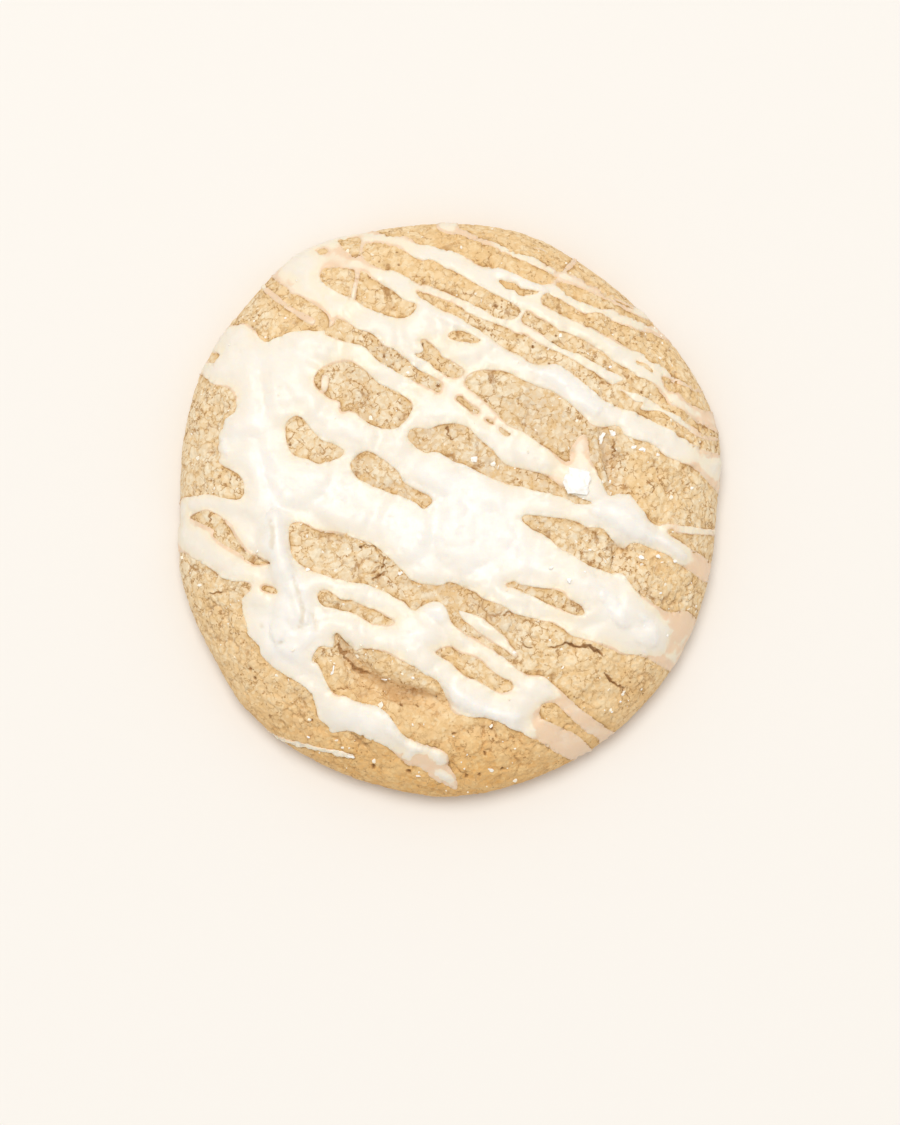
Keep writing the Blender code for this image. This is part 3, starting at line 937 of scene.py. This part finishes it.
def inside_path(path):
    """Which nodes of the grid lie inside a closed path, by counting the crossings left of each."""
    crossings = np.zeros((len(GRID_LINE), len(GRID_LINE) + 1), int)
    for (start_x, start_y, _), (end_x, end_y, _) in zip(path[:-1], path[1:]):
        low, high = nodes_from(np.array(sorted((start_y, end_y))), np.ceil)
        rows = np.arange(low, high)
        if len(rows):
            x = start_x + (GRID_LINE[rows] - start_y) * (end_x - start_x) / (end_y - start_y)
            np.add.at(crossings, (rows, nodes_from(x, np.ceil)), 1)
    return np.cumsum(crossings, axis=1)[:, :-1] % 2 == 1


def empty_field():
    return np.full((len(GRID_LINE), len(GRID_LINE)), -REACH)


def stroke_field(table):
    field = empty_field()
    for points in table.values():
        draw_stroke(field, chart_path(points))
    return field


def patch_field(outline):
    """How deep each node lies inside the patch, below zero outside it."""
    path = chart_path(outline, closed=True)
    field = empty_field()
    draw_stroke(field, path)
    return np.where(inside_path(path), -field, field)


def smooth_greater(first, second, blend):
    """The greater of two fields, rounded where they meet."""
    share = np.clip(0.5 + 0.5 * (first - second) / blend, 0.0, 1.0)
    return second + (first - second) * share + blend * share * (1.0 - share)


def grid_points():
    x, y = np.meshgrid(GRID_LINE, GRID_LINE)
    return np.stack([x.ravel(), y.ravel(), np.zeros(x.size)], axis=1)


def icing_field():
    """How deep each node lies inside the icing, below zero where the crust is bare."""
    bare = stroke_field(BARE_STROKES)
    for outline in BARE_PATCHES.values():
        bare = np.maximum(bare, patch_field(outline))
    icing = smooth_greater(-bare, stroke_field(ICING_STROKES), THREAD_BLEND)
    points = grid_points()
    wobble = EDGE_WOBBLE * named_noise(points, "edge") + EDGE_WOBBLE / 2 * named_noise(points, "fine_edge")
    icing = icing + wobble.reshape(icing.shape)
    run = np.hypot(points[:, 0], points[:, 1]).reshape(icing.shape)
    end = TOP_RUN + DRIP_END + DRIP_UNEVEN * named_noise(points, "drip").reshape(icing.shape)
    return -smooth_greater(-icing, run - end, DRIP_BLEND)


def blurred(field, size):
    """The field averaged twice over squares of about that size."""
    reach = max(int(round(size / GRID_STEP / 2)), 1)
    for axis in (0, 1, 0, 1):
        padded = np.pad(field, [(reach + 1, reach) if k == axis else (0, 0) for k in (0, 1)], mode="edge")
        total = np.cumsum(padded, axis=axis)
        ahead = np.take(total, np.arange(2 * reach + 1, total.shape[axis]), axis=axis)
        behind = np.take(total, np.arange(0, total.shape[axis] - 2 * reach - 1), axis=axis)
        field = (ahead - behind) / (2 * reach + 1)
    return field


def sample(field, chart):
    """The field at chart points, between its nodes."""
    place = np.clip((chart[:, :2] + GRID_SIDE) / GRID_STEP, 0.0, len(GRID_LINE) - 1.001)
    column, row = np.floor(place).astype(int).T
    across, up = (place - np.floor(place)).T
    low = field[row, column] * (1.0 - across) + field[row, column + 1] * across
    high = field[row + 1, column] * (1.0 - across) + field[row + 1, column + 1] * across
    return low * (1.0 - up) + high * up


# Meshes on the chart.


def crossing_point(field, level, edge):
    """Where the field crosses the level on an edge: its row, its column, and 0 along x or 1 along y."""
    row, column, turned = edge
    here = field[row, column]
    there = field[row + turned, column + 1 - turned]
    share = (level - here) / (there - here)
    return GRID_LINE[column] + GRID_STEP * share * (1 - turned), GRID_LINE[row] + GRID_STEP * share * turned


def contours(field, level):
    """Closed lines along which the field equals the level."""
    inside = field > level
    along = inside[:, :-1] != inside[:, 1:]
    across = inside[:-1] != inside[1:]
    touched = along[:-1] | along[1:] | across[:, :-1] | across[:, 1:]
    links = collections.defaultdict(list)
    for row, column in zip(*np.nonzero(touched)):
        sides = (
            (along[row, column], (row, column, 0)),
            (across[row, column + 1], (row, column + 1, 1)),
            (along[row + 1, column], (row + 1, column, 0)),
            (across[row, column], (row, column, 1)),
        )
        crossed = [edge for cut, edge in sides if cut]
        for first, second in zip(crossed[::2], crossed[1::2]):
            links[first].append(second)
            links[second].append(first)
    lines = []
    while links:
        place, before = next(iter(links)), None
        line = []
        while place in links:
            line.append(crossing_point(field, level, place))
            first, second = links.pop(place)
            place, before = (second if first == before else first), place
        lines.append(np.array(line))
    return lines


def even_ring(line, spacing):
    """A closed line's points moved to even steps along it."""
    closed = np.vstack([line, line[:1]])
    along = np.concatenate([[0.0], np.cumsum(np.linalg.norm(np.diff(closed, axis=0), axis=1))])
    count = max(int(along[-1] / spacing), FEWEST_IN_RING)
    places = np.linspace(0.0, along[-1], count, endpoint=False)
    return np.stack([np.interp(places, along, column) for column in closed.T], axis=1)


def scattered(rng, spacing, reach=GRID_SIDE):
    """Chart points spread loosely over the grid at that spacing."""
    line = np.arange(-reach, reach, spacing)
    x, y = np.meshgrid(line, line)
    points = np.stack([x.ravel(), y.ravel()], axis=1)
    return points + rng.uniform(-POINT_JITTER, POINT_JITTER, points.shape) * spacing


def triangles_over(rings, loose):
    """Triangles over the loose points and the closed rings, each of whose edges is kept."""
    points = np.vstack([*rings, loose])
    edges = []
    start = 0
    for ring in rings:
        index = np.arange(len(ring)) + start
        edges.extend(zip(index.tolist(), np.roll(index, -1).tolist()))
        start += len(ring)
    places = [Vector(point) for point in points.tolist()]
    found = delaunay_2d_cdt(places, edges, [], 0, CDT_TOLERANCE, False)
    return np.array([point[:] for point in found[0]]), np.array(found[2])


def add_object(name, data):
    piece = bpy.data.objects.new(name, data)
    bpy.context.scene.collection.objects.link(piece)
    return piece


def add_piece(name, points, faces, material, slot):
    """Makes a mesh from points in millimetres and puts it on the cookie."""
    mesh = bpy.data.meshes.new(name)
    mesh.from_pydata((points * MM).tolist(), [], faces.tolist())
    mesh.validate()
    mesh.shade_smooth()
    mesh.materials.append(material)
    piece = add_object(name, mesh)
    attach(piece, "root")
    return piece


def add_attribute(piece, name, values):
    attribute = piece.data.attributes.new(name, "FLOAT", "POINT")
    attribute.data.foreach_set("value", np.asarray(values, np.float32))


def used_only(points, faces):
    """Drops the points that no face uses."""
    used, index = np.unique(faces, return_inverse=True)
    return points[used], index.reshape(faces.shape)


# The crust.


def crust_maps():
    """Fields of the crust's cracks and furrows."""
    return stroke_field(CRACKS), stroke_field(FURROWS)


def crack_depth(points, chart, cracks):
    """How far inside a crack each point lies, below 0 outside. Noise makes the cracks jagged and uneven."""
    jag = CRACK_JAG * noise_moves(points, "crack_jag", 2)
    return sample(cracks, chart[:, :2] + jag) + CRACK_UNEVEN * named_noise(points, "crack_width")


def pit_depth(points, table):
    """How deep each point lies in one of the pits of the table, from 0 to 1."""
    centres = to_skin(np.array(table)[:, :2])
    places = points[:, :2] + PIT_JAG * noise_moves(points, "pit_jag", 2)
    depth = np.zeros(len(places))
    for centre, radius in zip(centres, np.array(table)[:, 2]):
        distance = np.hypot(*(places - centre).T) / (radius * PIT_SHARE)
        depth = np.maximum(depth, 1.0 - smoothstep(*PIT_SLOPE, distance))
    return depth


def crust_relief(points, chart, maps):
    """Height of the crackled crust over the skin at each point, and the values its material reads."""
    cracks, furrows = maps
    warp = WARP * noise_moves(points, "warp", 3) + FINE_WARP * noise_moves(points, "fine_warp", 3)
    broad = LUMP_WARP * noise_moves(points, "lump_warp", 3)
    nearest, second, number = cells_round(points + warp + broad, LUMP_SIZE, SEED + LUMP_SEED)
    partial = smoothstep(*GAP_SHARE, named_noise(points, "gap_share"))
    gap = (1.0 - smoothstep(0.0, GAP_WIDTH, second - nearest)) * partial
    fine_nearest, fine_second, fine_number = cells_round(points + warp, FINE_SIZE, SEED + FINE_SEED)
    fine_gap = 1.0 - smoothstep(0.0, FINE_GAP_WIDTH, fine_second - fine_nearest)
    pit = pit_depth(points, PITS)
    crack = crack_depth(points, chart, cracks)
    fold = smoothstep(-FURROW_SLOPE, FURROW_SLOPE / 2, sample(furrows, chart))
    relief = (
        LUMP_HEIGHT * (LUMP_MIDDLE - nearest**2)
        + LUMP_STEP * (number - 0.5)
        - GAP_DEPTH * gap
        + FINE_HEIGHT * (FINE_MIDDLE - fine_nearest**2)
        - FINE_GAP_DEPTH * fine_gap
        + CRUMB_HEIGHT * named_noise(points, "crumb")
        - PIT_DEPTH * pit
        - CRACK_DEPTH * smoothstep(-CRACK_SLOPE, CRACK_SLOPE / 2, crack)
        - FURROW_DEPTH * fold
    )
    values = {
        "lump_line": (second - nearest) / np.maximum(partial, LEAST_GAP),
        "crack": crack,
        "pit": pit,
        "fold": fold,
        "dome": (1.0 - smoothstep(*DOME_SPAN, nearest)) * (DOME_LEAST + (1.0 - DOME_LEAST) * number),
        "lump": (number + fine_number) / 2,
    }
    return relief, values


def baked_brown(points):
    """How brown the crust is, 0 to 1: more at the rim, low on the side, in patches, and on the near side,
    partly painted shade.
    """
    across, up = seen_at(points).T
    out = smoothstep(*OUT_SPAN, np.hypot(points[:, 0], points[:, 1]))
    low = 1.0 - smoothstep(*LOW_SPAN, points[:, 2])
    # Browner on the near side, which faces away from the light: partly baking, partly painted shade.
    near = smoothstep(*NEAR_SPAN, -up)
    patches = swellings(BROWN_AND_SHADE_PATCHES, across, up) + BAKED_UNEVEN * named_noise(points, "baked")
    return np.clip(BAKED_MIDDLE + BAKED_OUT * out + BAKED_LOW * low + NEAR_BAKE_AND_SHADE * near + patches, 0.0, 1.0)


def crust_points(icing, cracks):
    """Chart points for the crust: close together where it is bare and cracked, wide apart under icing."""
    rng = np.random.default_rng(SEED)
    kept = []
    for spacing, low, high in CRUST_SPACINGS:
        points = scattered(rng, spacing)
        depth = sample(icing, points)
        kept.append(points[(depth >= low) & (depth < high)])
    points = scattered(rng, CRACK_SPACING)
    near_crack = sample(cracks, points) > -CRACK_JAG - CRACK_SLOPE
    kept.append(points[near_crack & (sample(icing, points) < CRACK_UNDER)])
    points = np.vstack(kept)
    run = np.hypot(*points.T)
    side = (run > TOP_RUN + SIDE_START) & (rng.random(len(points)) > SIDE_SHARE)
    return points[(run < FOOT_RUN - FOOT_CLEAR) & ~side]


def foot_ring():
    angle = np.linspace(0.0, math.tau, FOOT_POINTS, endpoint=False)
    return from_polar(np.full(FOOT_POINTS, FOOT_RUN), angle)


def base_sheet(foot):
    """Points and faces of the flat base inside the foot: its dimples only rise from the floor."""
    rng = np.random.default_rng(SEED + BASE_POINTS_SEED)
    loose = scattered(rng, BASE_SPACING, FOOT_RUN)
    radius, angle = polar(loose)
    loose = loose[radius < rim_radius(angle) - FOOT_INSET - BASE_SPACING / 2]
    rim = rim_radius(polar(foot)[1]) - FOOT_INSET
    ring = foot / FOOT_RUN * rim[:, None]
    flat, faces = triangles_over([ring], loose)
    points = np.hstack([flat, np.zeros((len(flat), 1))])
    nearest, _, number = cells_round(points, BASE_CELL, SEED + BASE_SEED)
    dimple = (1.0 - smoothstep(*DIMPLE_SPAN, nearest)) * number
    inside = np.arange(len(points)) >= len(ring)
    points[:, 2] = np.where(inside, BASE_DIMPLE * dimple, 0.0)
    return points, faces[:, ::-1]


def add_crust(icing, maps, material):
    foot = foot_ring()
    chart, faces = triangles_over([foot], crust_points(icing, maps[0]))
    points, normals = skin_and_normals(chart)
    depth = sample(icing, chart)
    run = np.hypot(*chart.T)
    relief, values = crust_relief(points, chart, maps)
    under = smoothstep(0.0, UNDER_SLOPE, depth)
    near_foot = 1.0 - smoothstep(TOP_RUN, FOOT_RUN - FOOT_FADE, run)
    side = smoothstep(TOP_RUN - SIDE_FADE, TOP_RUN, run)
    height = CRUST_LEVEL + relief * (1.0 - SIDE_CALM * side) * (1.0 - under) - UNDER_ICING * under
    points = points + normals * (height * near_foot)[:, None]
    points[:, 2] = np.maximum(points[:, 2], 0.0)
    base, base_faces = base_sheet(foot)

    foot_count = len(foot)
    joined = np.vstack([points, base[foot_count:]])
    own = np.arange(foot_count, len(base)) + len(points) - foot_count
    shift = np.concatenate([np.arange(foot_count), own])
    piece = add_piece("crust", joined, np.vstack([faces, shift[base_faces]]), material, "baked_crust")
    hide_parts("cookie")
    values["from_icing"] = -depth
    for name, column in values.items():
        add_attribute(piece, name, np.concatenate([column, np.full(len(own), BASE_VALUES[name])]))
    add_attribute(piece, "bake", baked_brown(joined))


# The icing.


def along_drizzle(points):
    """Points turned so that x runs along the way the icing was drizzled and y across it."""
    along, across = turned(points[:, 0], points[:, 1], DRIZZLE_DIRECTION)
    return np.stack([along, across, np.zeros(len(points))], axis=1)


def icing_runs(points):
    """Patches, from -1 to 1, where one run of icing set over another: each has its own level and edge."""
    warp = RUN_WARP * noise_moves(points, "run_warp", 3)
    nearest, second, number = cells_round((along_drizzle(points) + warp) / RUN_SIZES, 1.0, SEED + RUN_SEED)
    edge = smoothstep(0.0, RUN_EDGE, second - nearest)
    return (2.0 * number - 1.0) * edge + RUN_UNEVEN * named_noise(points, "runs")


def icing_thickness(points, chart, depth, calm_depth):
    """Thickness of the icing: a crisp edge or a thin veil, then a slow rise to the middle of each pool."""
    body = swellings(ICING_SWELLINGS, *seen_at(points).T)
    full = EDGE_FULLNESS + FULLNESS_SPREAD * named_noise(points, "fullness") + BODY_FULLNESS * body
    full = np.clip(full, 0.0, 1.0)
    rise = np.clip(depth / EDGE_WIDTH, 0.0, 1.0)
    crisp = np.sqrt(1.0 - (1.0 - rise) ** 2)
    veil = smoothstep(*VEIL_SPAN, depth)
    edge = veil + (crisp - veil) * full
    pool = smoothstep(*POOL_SPAN, calm_depth)
    inner = smoothstep(*INNER_SPAN, depth)
    patchy = ICING_PATCHY * icing_runs(points) * inner
    ridge = sample(stroke_field(ICING_RIDGES), chart)
    patchy += ICING_RIDGE_HEIGHT * smoothstep(*RIDGE_SPAN, ridge) * inner
    thin_rim = smoothstep(*THIN_RIM_SPAN, np.hypot(points[:, 0], points[:, 1]))
    middle = VEIL_HEIGHT + (EDGE_HEIGHT - VEIL_HEIGHT) * full + POOL_HEIGHT * pool + body + patchy
    return edge * np.maximum(middle - RIM_THINNING * thin_rim, THINNEST)


def drizzle_ridges(points):
    """Faint ridges along the way the icing was drizzled."""
    places = along_drizzle(points)
    return sum(share * noise(places / sizes, 1.0, SEED + seed) for share, sizes, seed in DRIZZLE_NOISES)


def icing_sheet(icing):
    """Chart points and triangles that cover the icing."""
    rings = []
    for level, spacing in ICING_RINGS:
        lines = contours(icing, level)
        rings.extend(even_ring(line, spacing) for line in lines if len(line) > SHORTEST_RING)
    loose = scattered(np.random.default_rng(SEED + ICING_POINTS_SEED), POOL_SPACING)
    loose = loose[sample(icing, loose) > ICING_RINGS[-1][0] + POOL_SPACING / 2]
    chart, faces = triangles_over(rings, loose)
    middle = chart[faces].mean(axis=1)
    faces = faces[sample(icing, middle) > 0.0]
    return used_only(chart, faces)


def boundary_points(faces):
    """Points on the open edge of a sheet of triangles."""
    ends = np.sort(np.concatenate([faces[:, [0, 1]], faces[:, [1, 2]], faces[:, [2, 0]]]), axis=1)
    edges, count = np.unique(ends, axis=0, return_counts=True)
    return np.unique(edges[count == 1])


def icing_surface(points, chart, depth):
    """Ridges, dimples, bubbles and furrows on the icing."""
    surface = RIDGE_HEIGHT * drizzle_ridges(points) * smoothstep(*DRIZZLE_SPAN, depth)
    surface += POOL_DIMPLE * named_noise(points, "dimples") * smoothstep(*DIMPLED_SPAN, depth)
    surface -= BUBBLE_DEPTH * pit_depth(points, BUBBLES)
    furrows = sample(stroke_field(ICING_FURROWS), chart)
    return surface - ICING_FURROW_DEPTH * smoothstep(*ICING_FURROW_SPAN, furrows)


def add_icing(icing, maps, material):
    chart, faces = icing_sheet(icing)
    points, normals = skin_and_normals(chart)
    depth = np.maximum(sample(icing, chart), 0.0)
    calm_depth = sample(blurred(icing, POOL_BLUR), chart)
    open_edge = np.zeros(len(chart), bool)
    open_edge[boundary_points(faces)] = True
    depth[open_edge] = 0.0

    crust, _ = crust_relief(points, chart, maps)
    follow = FOLLOW + (1.0 - FOLLOW) * (1.0 - smoothstep(0.0, FOLLOW_REACH, depth))
    thickness = icing_thickness(points, chart, depth, calm_depth)
    surface = icing_surface(points, chart, depth)
    sink = EDGE_SINK * (1.0 - smoothstep(0.0, EDGE_SINK_REACH, depth))
    height = CRUST_LEVEL + crust * follow + thickness + surface - sink
    top = points + normals * height[:, None]

    inner = np.flatnonzero(~open_edge)
    lower = np.arange(len(points))
    lower[inner] = len(points) + np.arange(len(inner))
    under_crust = crust[inner] * (1.0 - smoothstep(0.0, UNDER_SLOPE, depth[inner]))
    under = points[inner] + normals[inner] * (CRUST_LEVEL + under_crust - UNDER_SINK)[:, None]
    all_points = np.vstack([top, under])
    all_points[:, 2] = np.maximum(all_points[:, 2], 0.0)
    all_faces = np.vstack([faces, lower[faces][:, ::-1]])
    piece = add_piece("icing", all_points, all_faces, material, "white_icing")
    for name, values in (("thick", thickness), ("ridge", surface)):
        add_attribute(piece, name, np.concatenate([values, values[inner]]))


# The sugar.


def top_level(icing, maps, places):
    """The surface at places of the top: its points, the way it faces there, and the depth in the icing."""
    chart = place_to_chart(places)
    points, normals = skin_and_normals(chart)
    depth = sample(icing, chart)
    crust, _ = crust_relief(points, chart, maps)
    thickness = icing_thickness(points, chart, np.maximum(depth, 0.0), depth)
    height = CRUST_LEVEL + crust * np.where(depth > 0, FOLLOW, 1.0) + np.where(depth > 0, thickness, 0.0)
    return points + normals * height[:, None], normals, depth


def crystal(rng, size):
    """Points and faces of one lump of sugar: the hull of a few points in a box of that size."""
    cloud = rng.uniform(-1.0, 1.0, (CRYSTAL_POINTS, 3))
    cloud /= np.linalg.norm(cloud, axis=1, keepdims=True)
    shape = bmesh.new()
    for point in 0.5 * cloud * size:
        shape.verts.new(point)
    bmesh.ops.convex_hull(shape, input=shape.verts)
    inner = [vertex for vertex in shape.verts if not vertex.link_faces]
    bmesh.ops.delete(shape, geom=inner, context="VERTS")
    shape.verts.index_update()
    points = np.array([vertex.co[:] for vertex in shape.verts])
    faces = np.array([[vertex.index for vertex in face.verts] for face in shape.faces])
    shape.free()
    return points, faces


def cluster(rng, size):
    """Points and faces of crystals grown together: the longer the flake, the more of them."""
    length, width, thickness = size
    count = 1 + round(length * width * CRYSTALS_PER_AREA)
    if count == 1:
        return crystal(rng, size)
    parts = []
    for _ in range(count):
        share = rng.uniform(*CRYSTAL_LENGTHS)
        points, faces = crystal(rng, (share * length, rng.uniform(*CRYSTAL_WIDTHS) * width, thickness))
        reach = 0.5 * (1.0 - share)
        offset = rng.uniform(-reach, reach, 3) * (length, width, thickness / 2)
        turn = frame_along(np.array([0.0, 0.0, 1.0]), rng.uniform(-CRYSTAL_TURN, CRYSTAL_TURN))
        parts.append((points @ turn.T + offset, faces))
    return join_crystals(parts)


def frame_along(normal, turn):
    """Rotation that lays a crystal's x along the turned direction on the surface, its z along the normal."""
    along = np.array([math.cos(turn), math.sin(turn), 0.0])
    across = np.cross(normal, along)
    across /= np.linalg.norm(across)
    return np.stack([np.cross(across, normal), across, normal], axis=1)


def join_crystals(parts):
    points, faces, start = [], [], 0
    for corner_points, corner_faces in parts:
        points.append(corner_points)
        faces.append(corner_faces + start)
        start += len(corner_points)
    return np.vstack(points), np.vstack(faces)


def add_sugar(name, parts, material):
    piece = add_piece(name, *join_crystals(parts), material, "sugar_crystal")
    piece.data.shade_flat()


def add_flakes(icing, maps, material):
    rng = np.random.default_rng(SEED + FLAKES_SEED)
    table = np.array(FLAKES)
    places, normals, _ = top_level(icing, maps, to_skin(table[:, :2]))
    parts = []
    for place, normal, (_, _, length, width, direction) in zip(places, normals, table):
        thickness = min(width * rng.uniform(*FLAKE_THICKNESSES), FLAKE_THICKEST)
        points, faces = cluster(rng, (length, width, thickness))
        turn = frame_along(normal, math.radians(direction))
        parts.append((points @ turn.T + place + normal * thickness * FLAKE_LIFT, faces))
    add_sugar("sugar_flakes", parts, material)


def add_grains(icing, maps, material):
    """Fine sugar strewn over the top, which shows mostly on the bare crust."""
    rng = np.random.default_rng(SEED + GRAINS_SEED)
    kinds = [crystal(rng, GRAIN_FORM) for _ in range(GRAIN_KINDS)]
    angle = rng.uniform(0.0, math.tau, GRAIN_COUNT)
    radius = rim_radius(angle) * np.sqrt(rng.uniform(0.0, GRAIN_REACH, GRAIN_COUNT))
    places, normals, depth = top_level(icing, maps, from_polar(radius, angle))
    kept = (depth < 0.0) | (rng.random(GRAIN_COUNT) < GRAINS_ON_ICING)
    parts = []
    for place, normal in zip(places[kept], normals[kept]):
        points, faces = kinds[rng.integers(GRAIN_KINDS)]
        size = rng.uniform(*GRAIN_SIZES)
        turn = frame_along(normal, rng.uniform(0.0, math.tau))
        tilt = frame_along(rng.normal(size=3), 0.0)
        parts.append((points * size @ tilt.T @ turn.T + place + normal * size * GRAIN_LIFT, faces))
    add_sugar("sugar_grains", parts, material)


# Materials.


class Nodes:
    """Short ways to add and join the nodes of one material."""

    def __init__(self, name):
        self.material = bpy.data.materials.new(name)
        self.material.use_nodes = True
        self.tree = self.material.node_tree

    def put(self, socket, value):
        if isinstance(value, bpy.types.NodeSocket):
            self.tree.links.new(value, socket)
        else:
            socket.default_value = value

    def fill(self, node, inputs):
        """Puts values or outputs into the inputs of those names, whose spaces are written as underscores."""
        for name, value in inputs.items():
            self.put(node.inputs[name.replace("_", " ")], value)

    def set(self, **inputs):
        self.fill(self.tree.nodes["Principled BSDF"], inputs)

    def node(self, kind, *numbered, settings=None, **named):
        """A new node of that kind: its settings come first, then its inputs, in order or by name."""
        node = self.tree.nodes.new("ShaderNode" + kind)
        for name, setting in (settings or {}).items():
            setattr(node, name, setting)
        for socket, value in zip(node.inputs, numbered):
            self.put(socket, value)
        self.fill(node, named)
        return node

    def place(self):
        return self.node("TexCoord").outputs["Object"]

    def attribute(self, name):
        return self.node("Attribute", settings={"attribute_name": name}).outputs["Fac"]

    def texture(self, scale, detail=3.0, roughness=0.6):
        """Noise at that scale, in bumps for each metre."""
        node = self.node("TexNoise", Vector=self.place(), Scale=scale, Detail=detail, Roughness=roughness)
        return node.outputs["Fac"]

    def cells(self, scale):
        """Distance to the nearest cell's centre, in cell sizes, and a number of that cell."""
        node = self.node("TexVoronoi", Vector=self.place(), Scale=scale)
        return node.outputs["Distance"], node.outputs["Color"]

    def network(self, scale, bend_scale, bend):
        """Distance to the nearest line of a bent network of cells, in cell sizes. The bend is in metres."""
        wave = self.node("TexNoise", Vector=self.place(), Scale=bend_scale)
        parts = (wave.outputs["Color"], (bend, bend, bend), self.place())
        moved = self.node("VectorMath", *parts, settings={"operation": "MULTIPLY_ADD"})
        kind = {"feature": "DISTANCE_TO_EDGE"}
        lines = self.node("TexVoronoi", settings=kind, Vector=moved.outputs[0], Scale=scale)
        return lines.outputs["Distance"]

    def span(self, value, low, high, to_low=0.0, to_high=1.0):
        """The value moved smoothly from one span of numbers to another."""
        spans = {"From_Min": low, "From_Max": high, "To_Min": to_low, "To_Max": to_high}
        smooth = {"interpolation_type": "SMOOTHSTEP"}
        return self.node("MapRange", settings=smooth, Value=value, **spans).outputs["Result"]

    def mix(self, share, first, second):
        node = self.node("Mix", settings={"data_type": "RGBA"})
        shown = {socket.name: socket for socket in node.inputs if socket.enabled}
        for name, value in (("Factor", share), ("A", first), ("B", second)):
            self.put(shown[name], value)
        return next(socket for socket in node.outputs if socket.enabled)

    def times(self, first, second):
        return self.node("Math", first, second, settings={"operation": "MULTIPLY"}).outputs[0]

    def bump(self, height, distance, strength):
        return self.node("Bump", Height=height, Distance=distance, Strength=strength).outputs["Normal"]

    def tinted(self, colour, tints, values):
        """The colour with each tint laid over it, as much as its value says and its masks let through."""
        for value, span, tint, *masks in tints:
            share = self.span(values[value], *span)
            for mask in masks:
                share = self.times(share, values[mask])
            colour = self.mix(share, colour, values.get(tint, tint))
        return colour


def crust_material():
    """Sandy crumb in pale plates, browner at the rim, with thin broken brown lines, cracks and pits."""
    nodes = Nodes("baked_crust")
    values = {name: nodes.texture(*texture) for name, texture in CRUST_TEXTURES.items()}
    values |= {name: nodes.attribute(name) for name in ("bake", *BASE_VALUES)}
    values["edge"] = nodes.network(*EDGE_NETWORK)
    values["granule"], values["granule_number"] = nodes.cells(GRANULE_SCALE)
    values["dot"], values["dot_number"] = nodes.cells(DOT_SCALE)
    values |= {name: nodes.span(values[value], *span) for name, (value, span) in CRUST_MASKS.items()}
    values["light"] = nodes.mix(values["baked"], CRUMB_PALE, CRUMB_BAKED_PALE)
    colour = nodes.tinted(CRUMB_BEIGE, CRUST_BASE_TINTS, values)
    # Paler on the tops of the lumps: partly painted light there and shade between, partly crumb toasted in
    # the hollows.
    colour = nodes.mix(nodes.times(values["dome"], DOME_LIGHT), colour, values["light"])
    nodes.set(
        Base_Color=nodes.tinted(colour, CRUST_TINTS, values),
        Roughness=nodes.span(values["fine"], *CRUST_ROUGHNESS),
        Normal=nodes.bump(nodes.mix(0.5, values["granule"], values["grit"]), *CRUST_BUMP),
    )
    return nodes.material


def icing_material():
    """White sugar icing: opaque where it pools, cream and see-through where it is thin."""
    nodes = Nodes("white_icing")
    values = {name: nodes.texture(*scale) for name, scale in ICING_TEXTURES.items()}
    values |= {name: nodes.attribute(name) for name in ("thick", "ridge")}
    nodes.set(
        Base_Color=nodes.tinted(ICING_GLAZE, ICING_TINTS, values),
        Roughness=nodes.span(values["mottle"], *ICING_ROUGHNESS),
        Subsurface_Weight=ICING_CLEAR_SHARE,
        Subsurface_Scale=ICING_CLEAR_DEPTH,
        Subsurface_Radius=ICING_CLEAR_DEPTHS,
        Normal=nodes.bump(values["grain"], *ICING_BUMP),
    )
    return nodes.material


def sugar_material(name, clear, cloudy):
    nodes = Nodes(name)
    frost = nodes.texture(*FROST_TEXTURE)
    nodes.set(
        Base_Color=nodes.mix(nodes.span(frost, *FROST_SPAN), clear, cloudy),
        Roughness=nodes.span(frost, *SUGAR_ROUGHNESS),
    )
    return nodes.material


# Stage, light and camera.


def add_floor():
    mesh = bpy.data.meshes.new("floor")
    half = FLOOR_HALF * MM
    corners = [(x * half, y * half, 0.0) for x, y in ((-1, -1), (1, -1), (1, 1), (-1, 1))]
    mesh.from_pydata(corners, [], [(0, 1, 2, 3)])
    nodes = Nodes("floor")
    paper = nodes.texture(FLOOR_GRAIN)
    nodes.set(Base_Color=nodes.mix(paper, FLOOR_COLOUR, FLOOR_SHADE), Roughness=FLOOR_ROUGHNESS)
    mesh.materials.append(nodes.material)
    floor = add_object("floor", mesh)
    floor.location.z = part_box("cookie")[0].z - FLOOR_GAP * MM


def aim(obj, place, target):
    obj.location = Vector(place) * MM
    obj.rotation_euler = (Vector(target) - Vector(place)).to_track_quat("-Z", "Y").to_euler()


def add_light(name, place, size, power, colour):
    light = bpy.data.lights.new(name, "AREA")
    light.shape = "DISK"
    light.size = size * MM
    light.energy = power
    light.color = colour
    aim(add_object(name, light), place, (0.0, 0.0, 0.0))


def add_world():
    world = bpy.data.worlds.new("studio")
    world.use_nodes = True
    background = world.node_tree.nodes["Background"]
    background.inputs["Color"].default_value = WORLD_COLOUR
    background.inputs["Strength"].default_value = WORLD_STRENGTH
    bpy.context.scene.world = world


def add_camera():
    camera = bpy.data.cameras.new("camera")
    camera.sensor_width = SENSOR
    camera.lens = SENSOR * CAMERA_DISTANCE / VIEW_HEIGHT
    camera.clip_start, camera.clip_end = CAMERA_CLIPS
    viewer = add_object("camera", camera)
    aim(viewer, *camera_place())
    bpy.context.scene.camera = viewer


def set_view():
    scene = bpy.context.scene
    scene.render.resolution_x, scene.render.resolution_y = PICTURE_SIZE
    scene.view_settings.view_transform = "Standard"
    scene.view_settings.look = "None"


icing_map = icing_field()
crust_fields = crust_maps()
add_crust(icing_map, crust_fields, crust_material())
add_icing(icing_map, crust_fields, icing_material())
add_flakes(icing_map, crust_fields, sugar_material("sugar_flakes", SUGAR_WHITE, SUGAR_CREAM))
add_grains(icing_map, crust_fields, sugar_material("sugar_grains", SUGAR_CREAM, SUGAR_WARM))
add_floor()
add_world()
add_light(*KEY_LIGHT)
add_camera()
set_view()
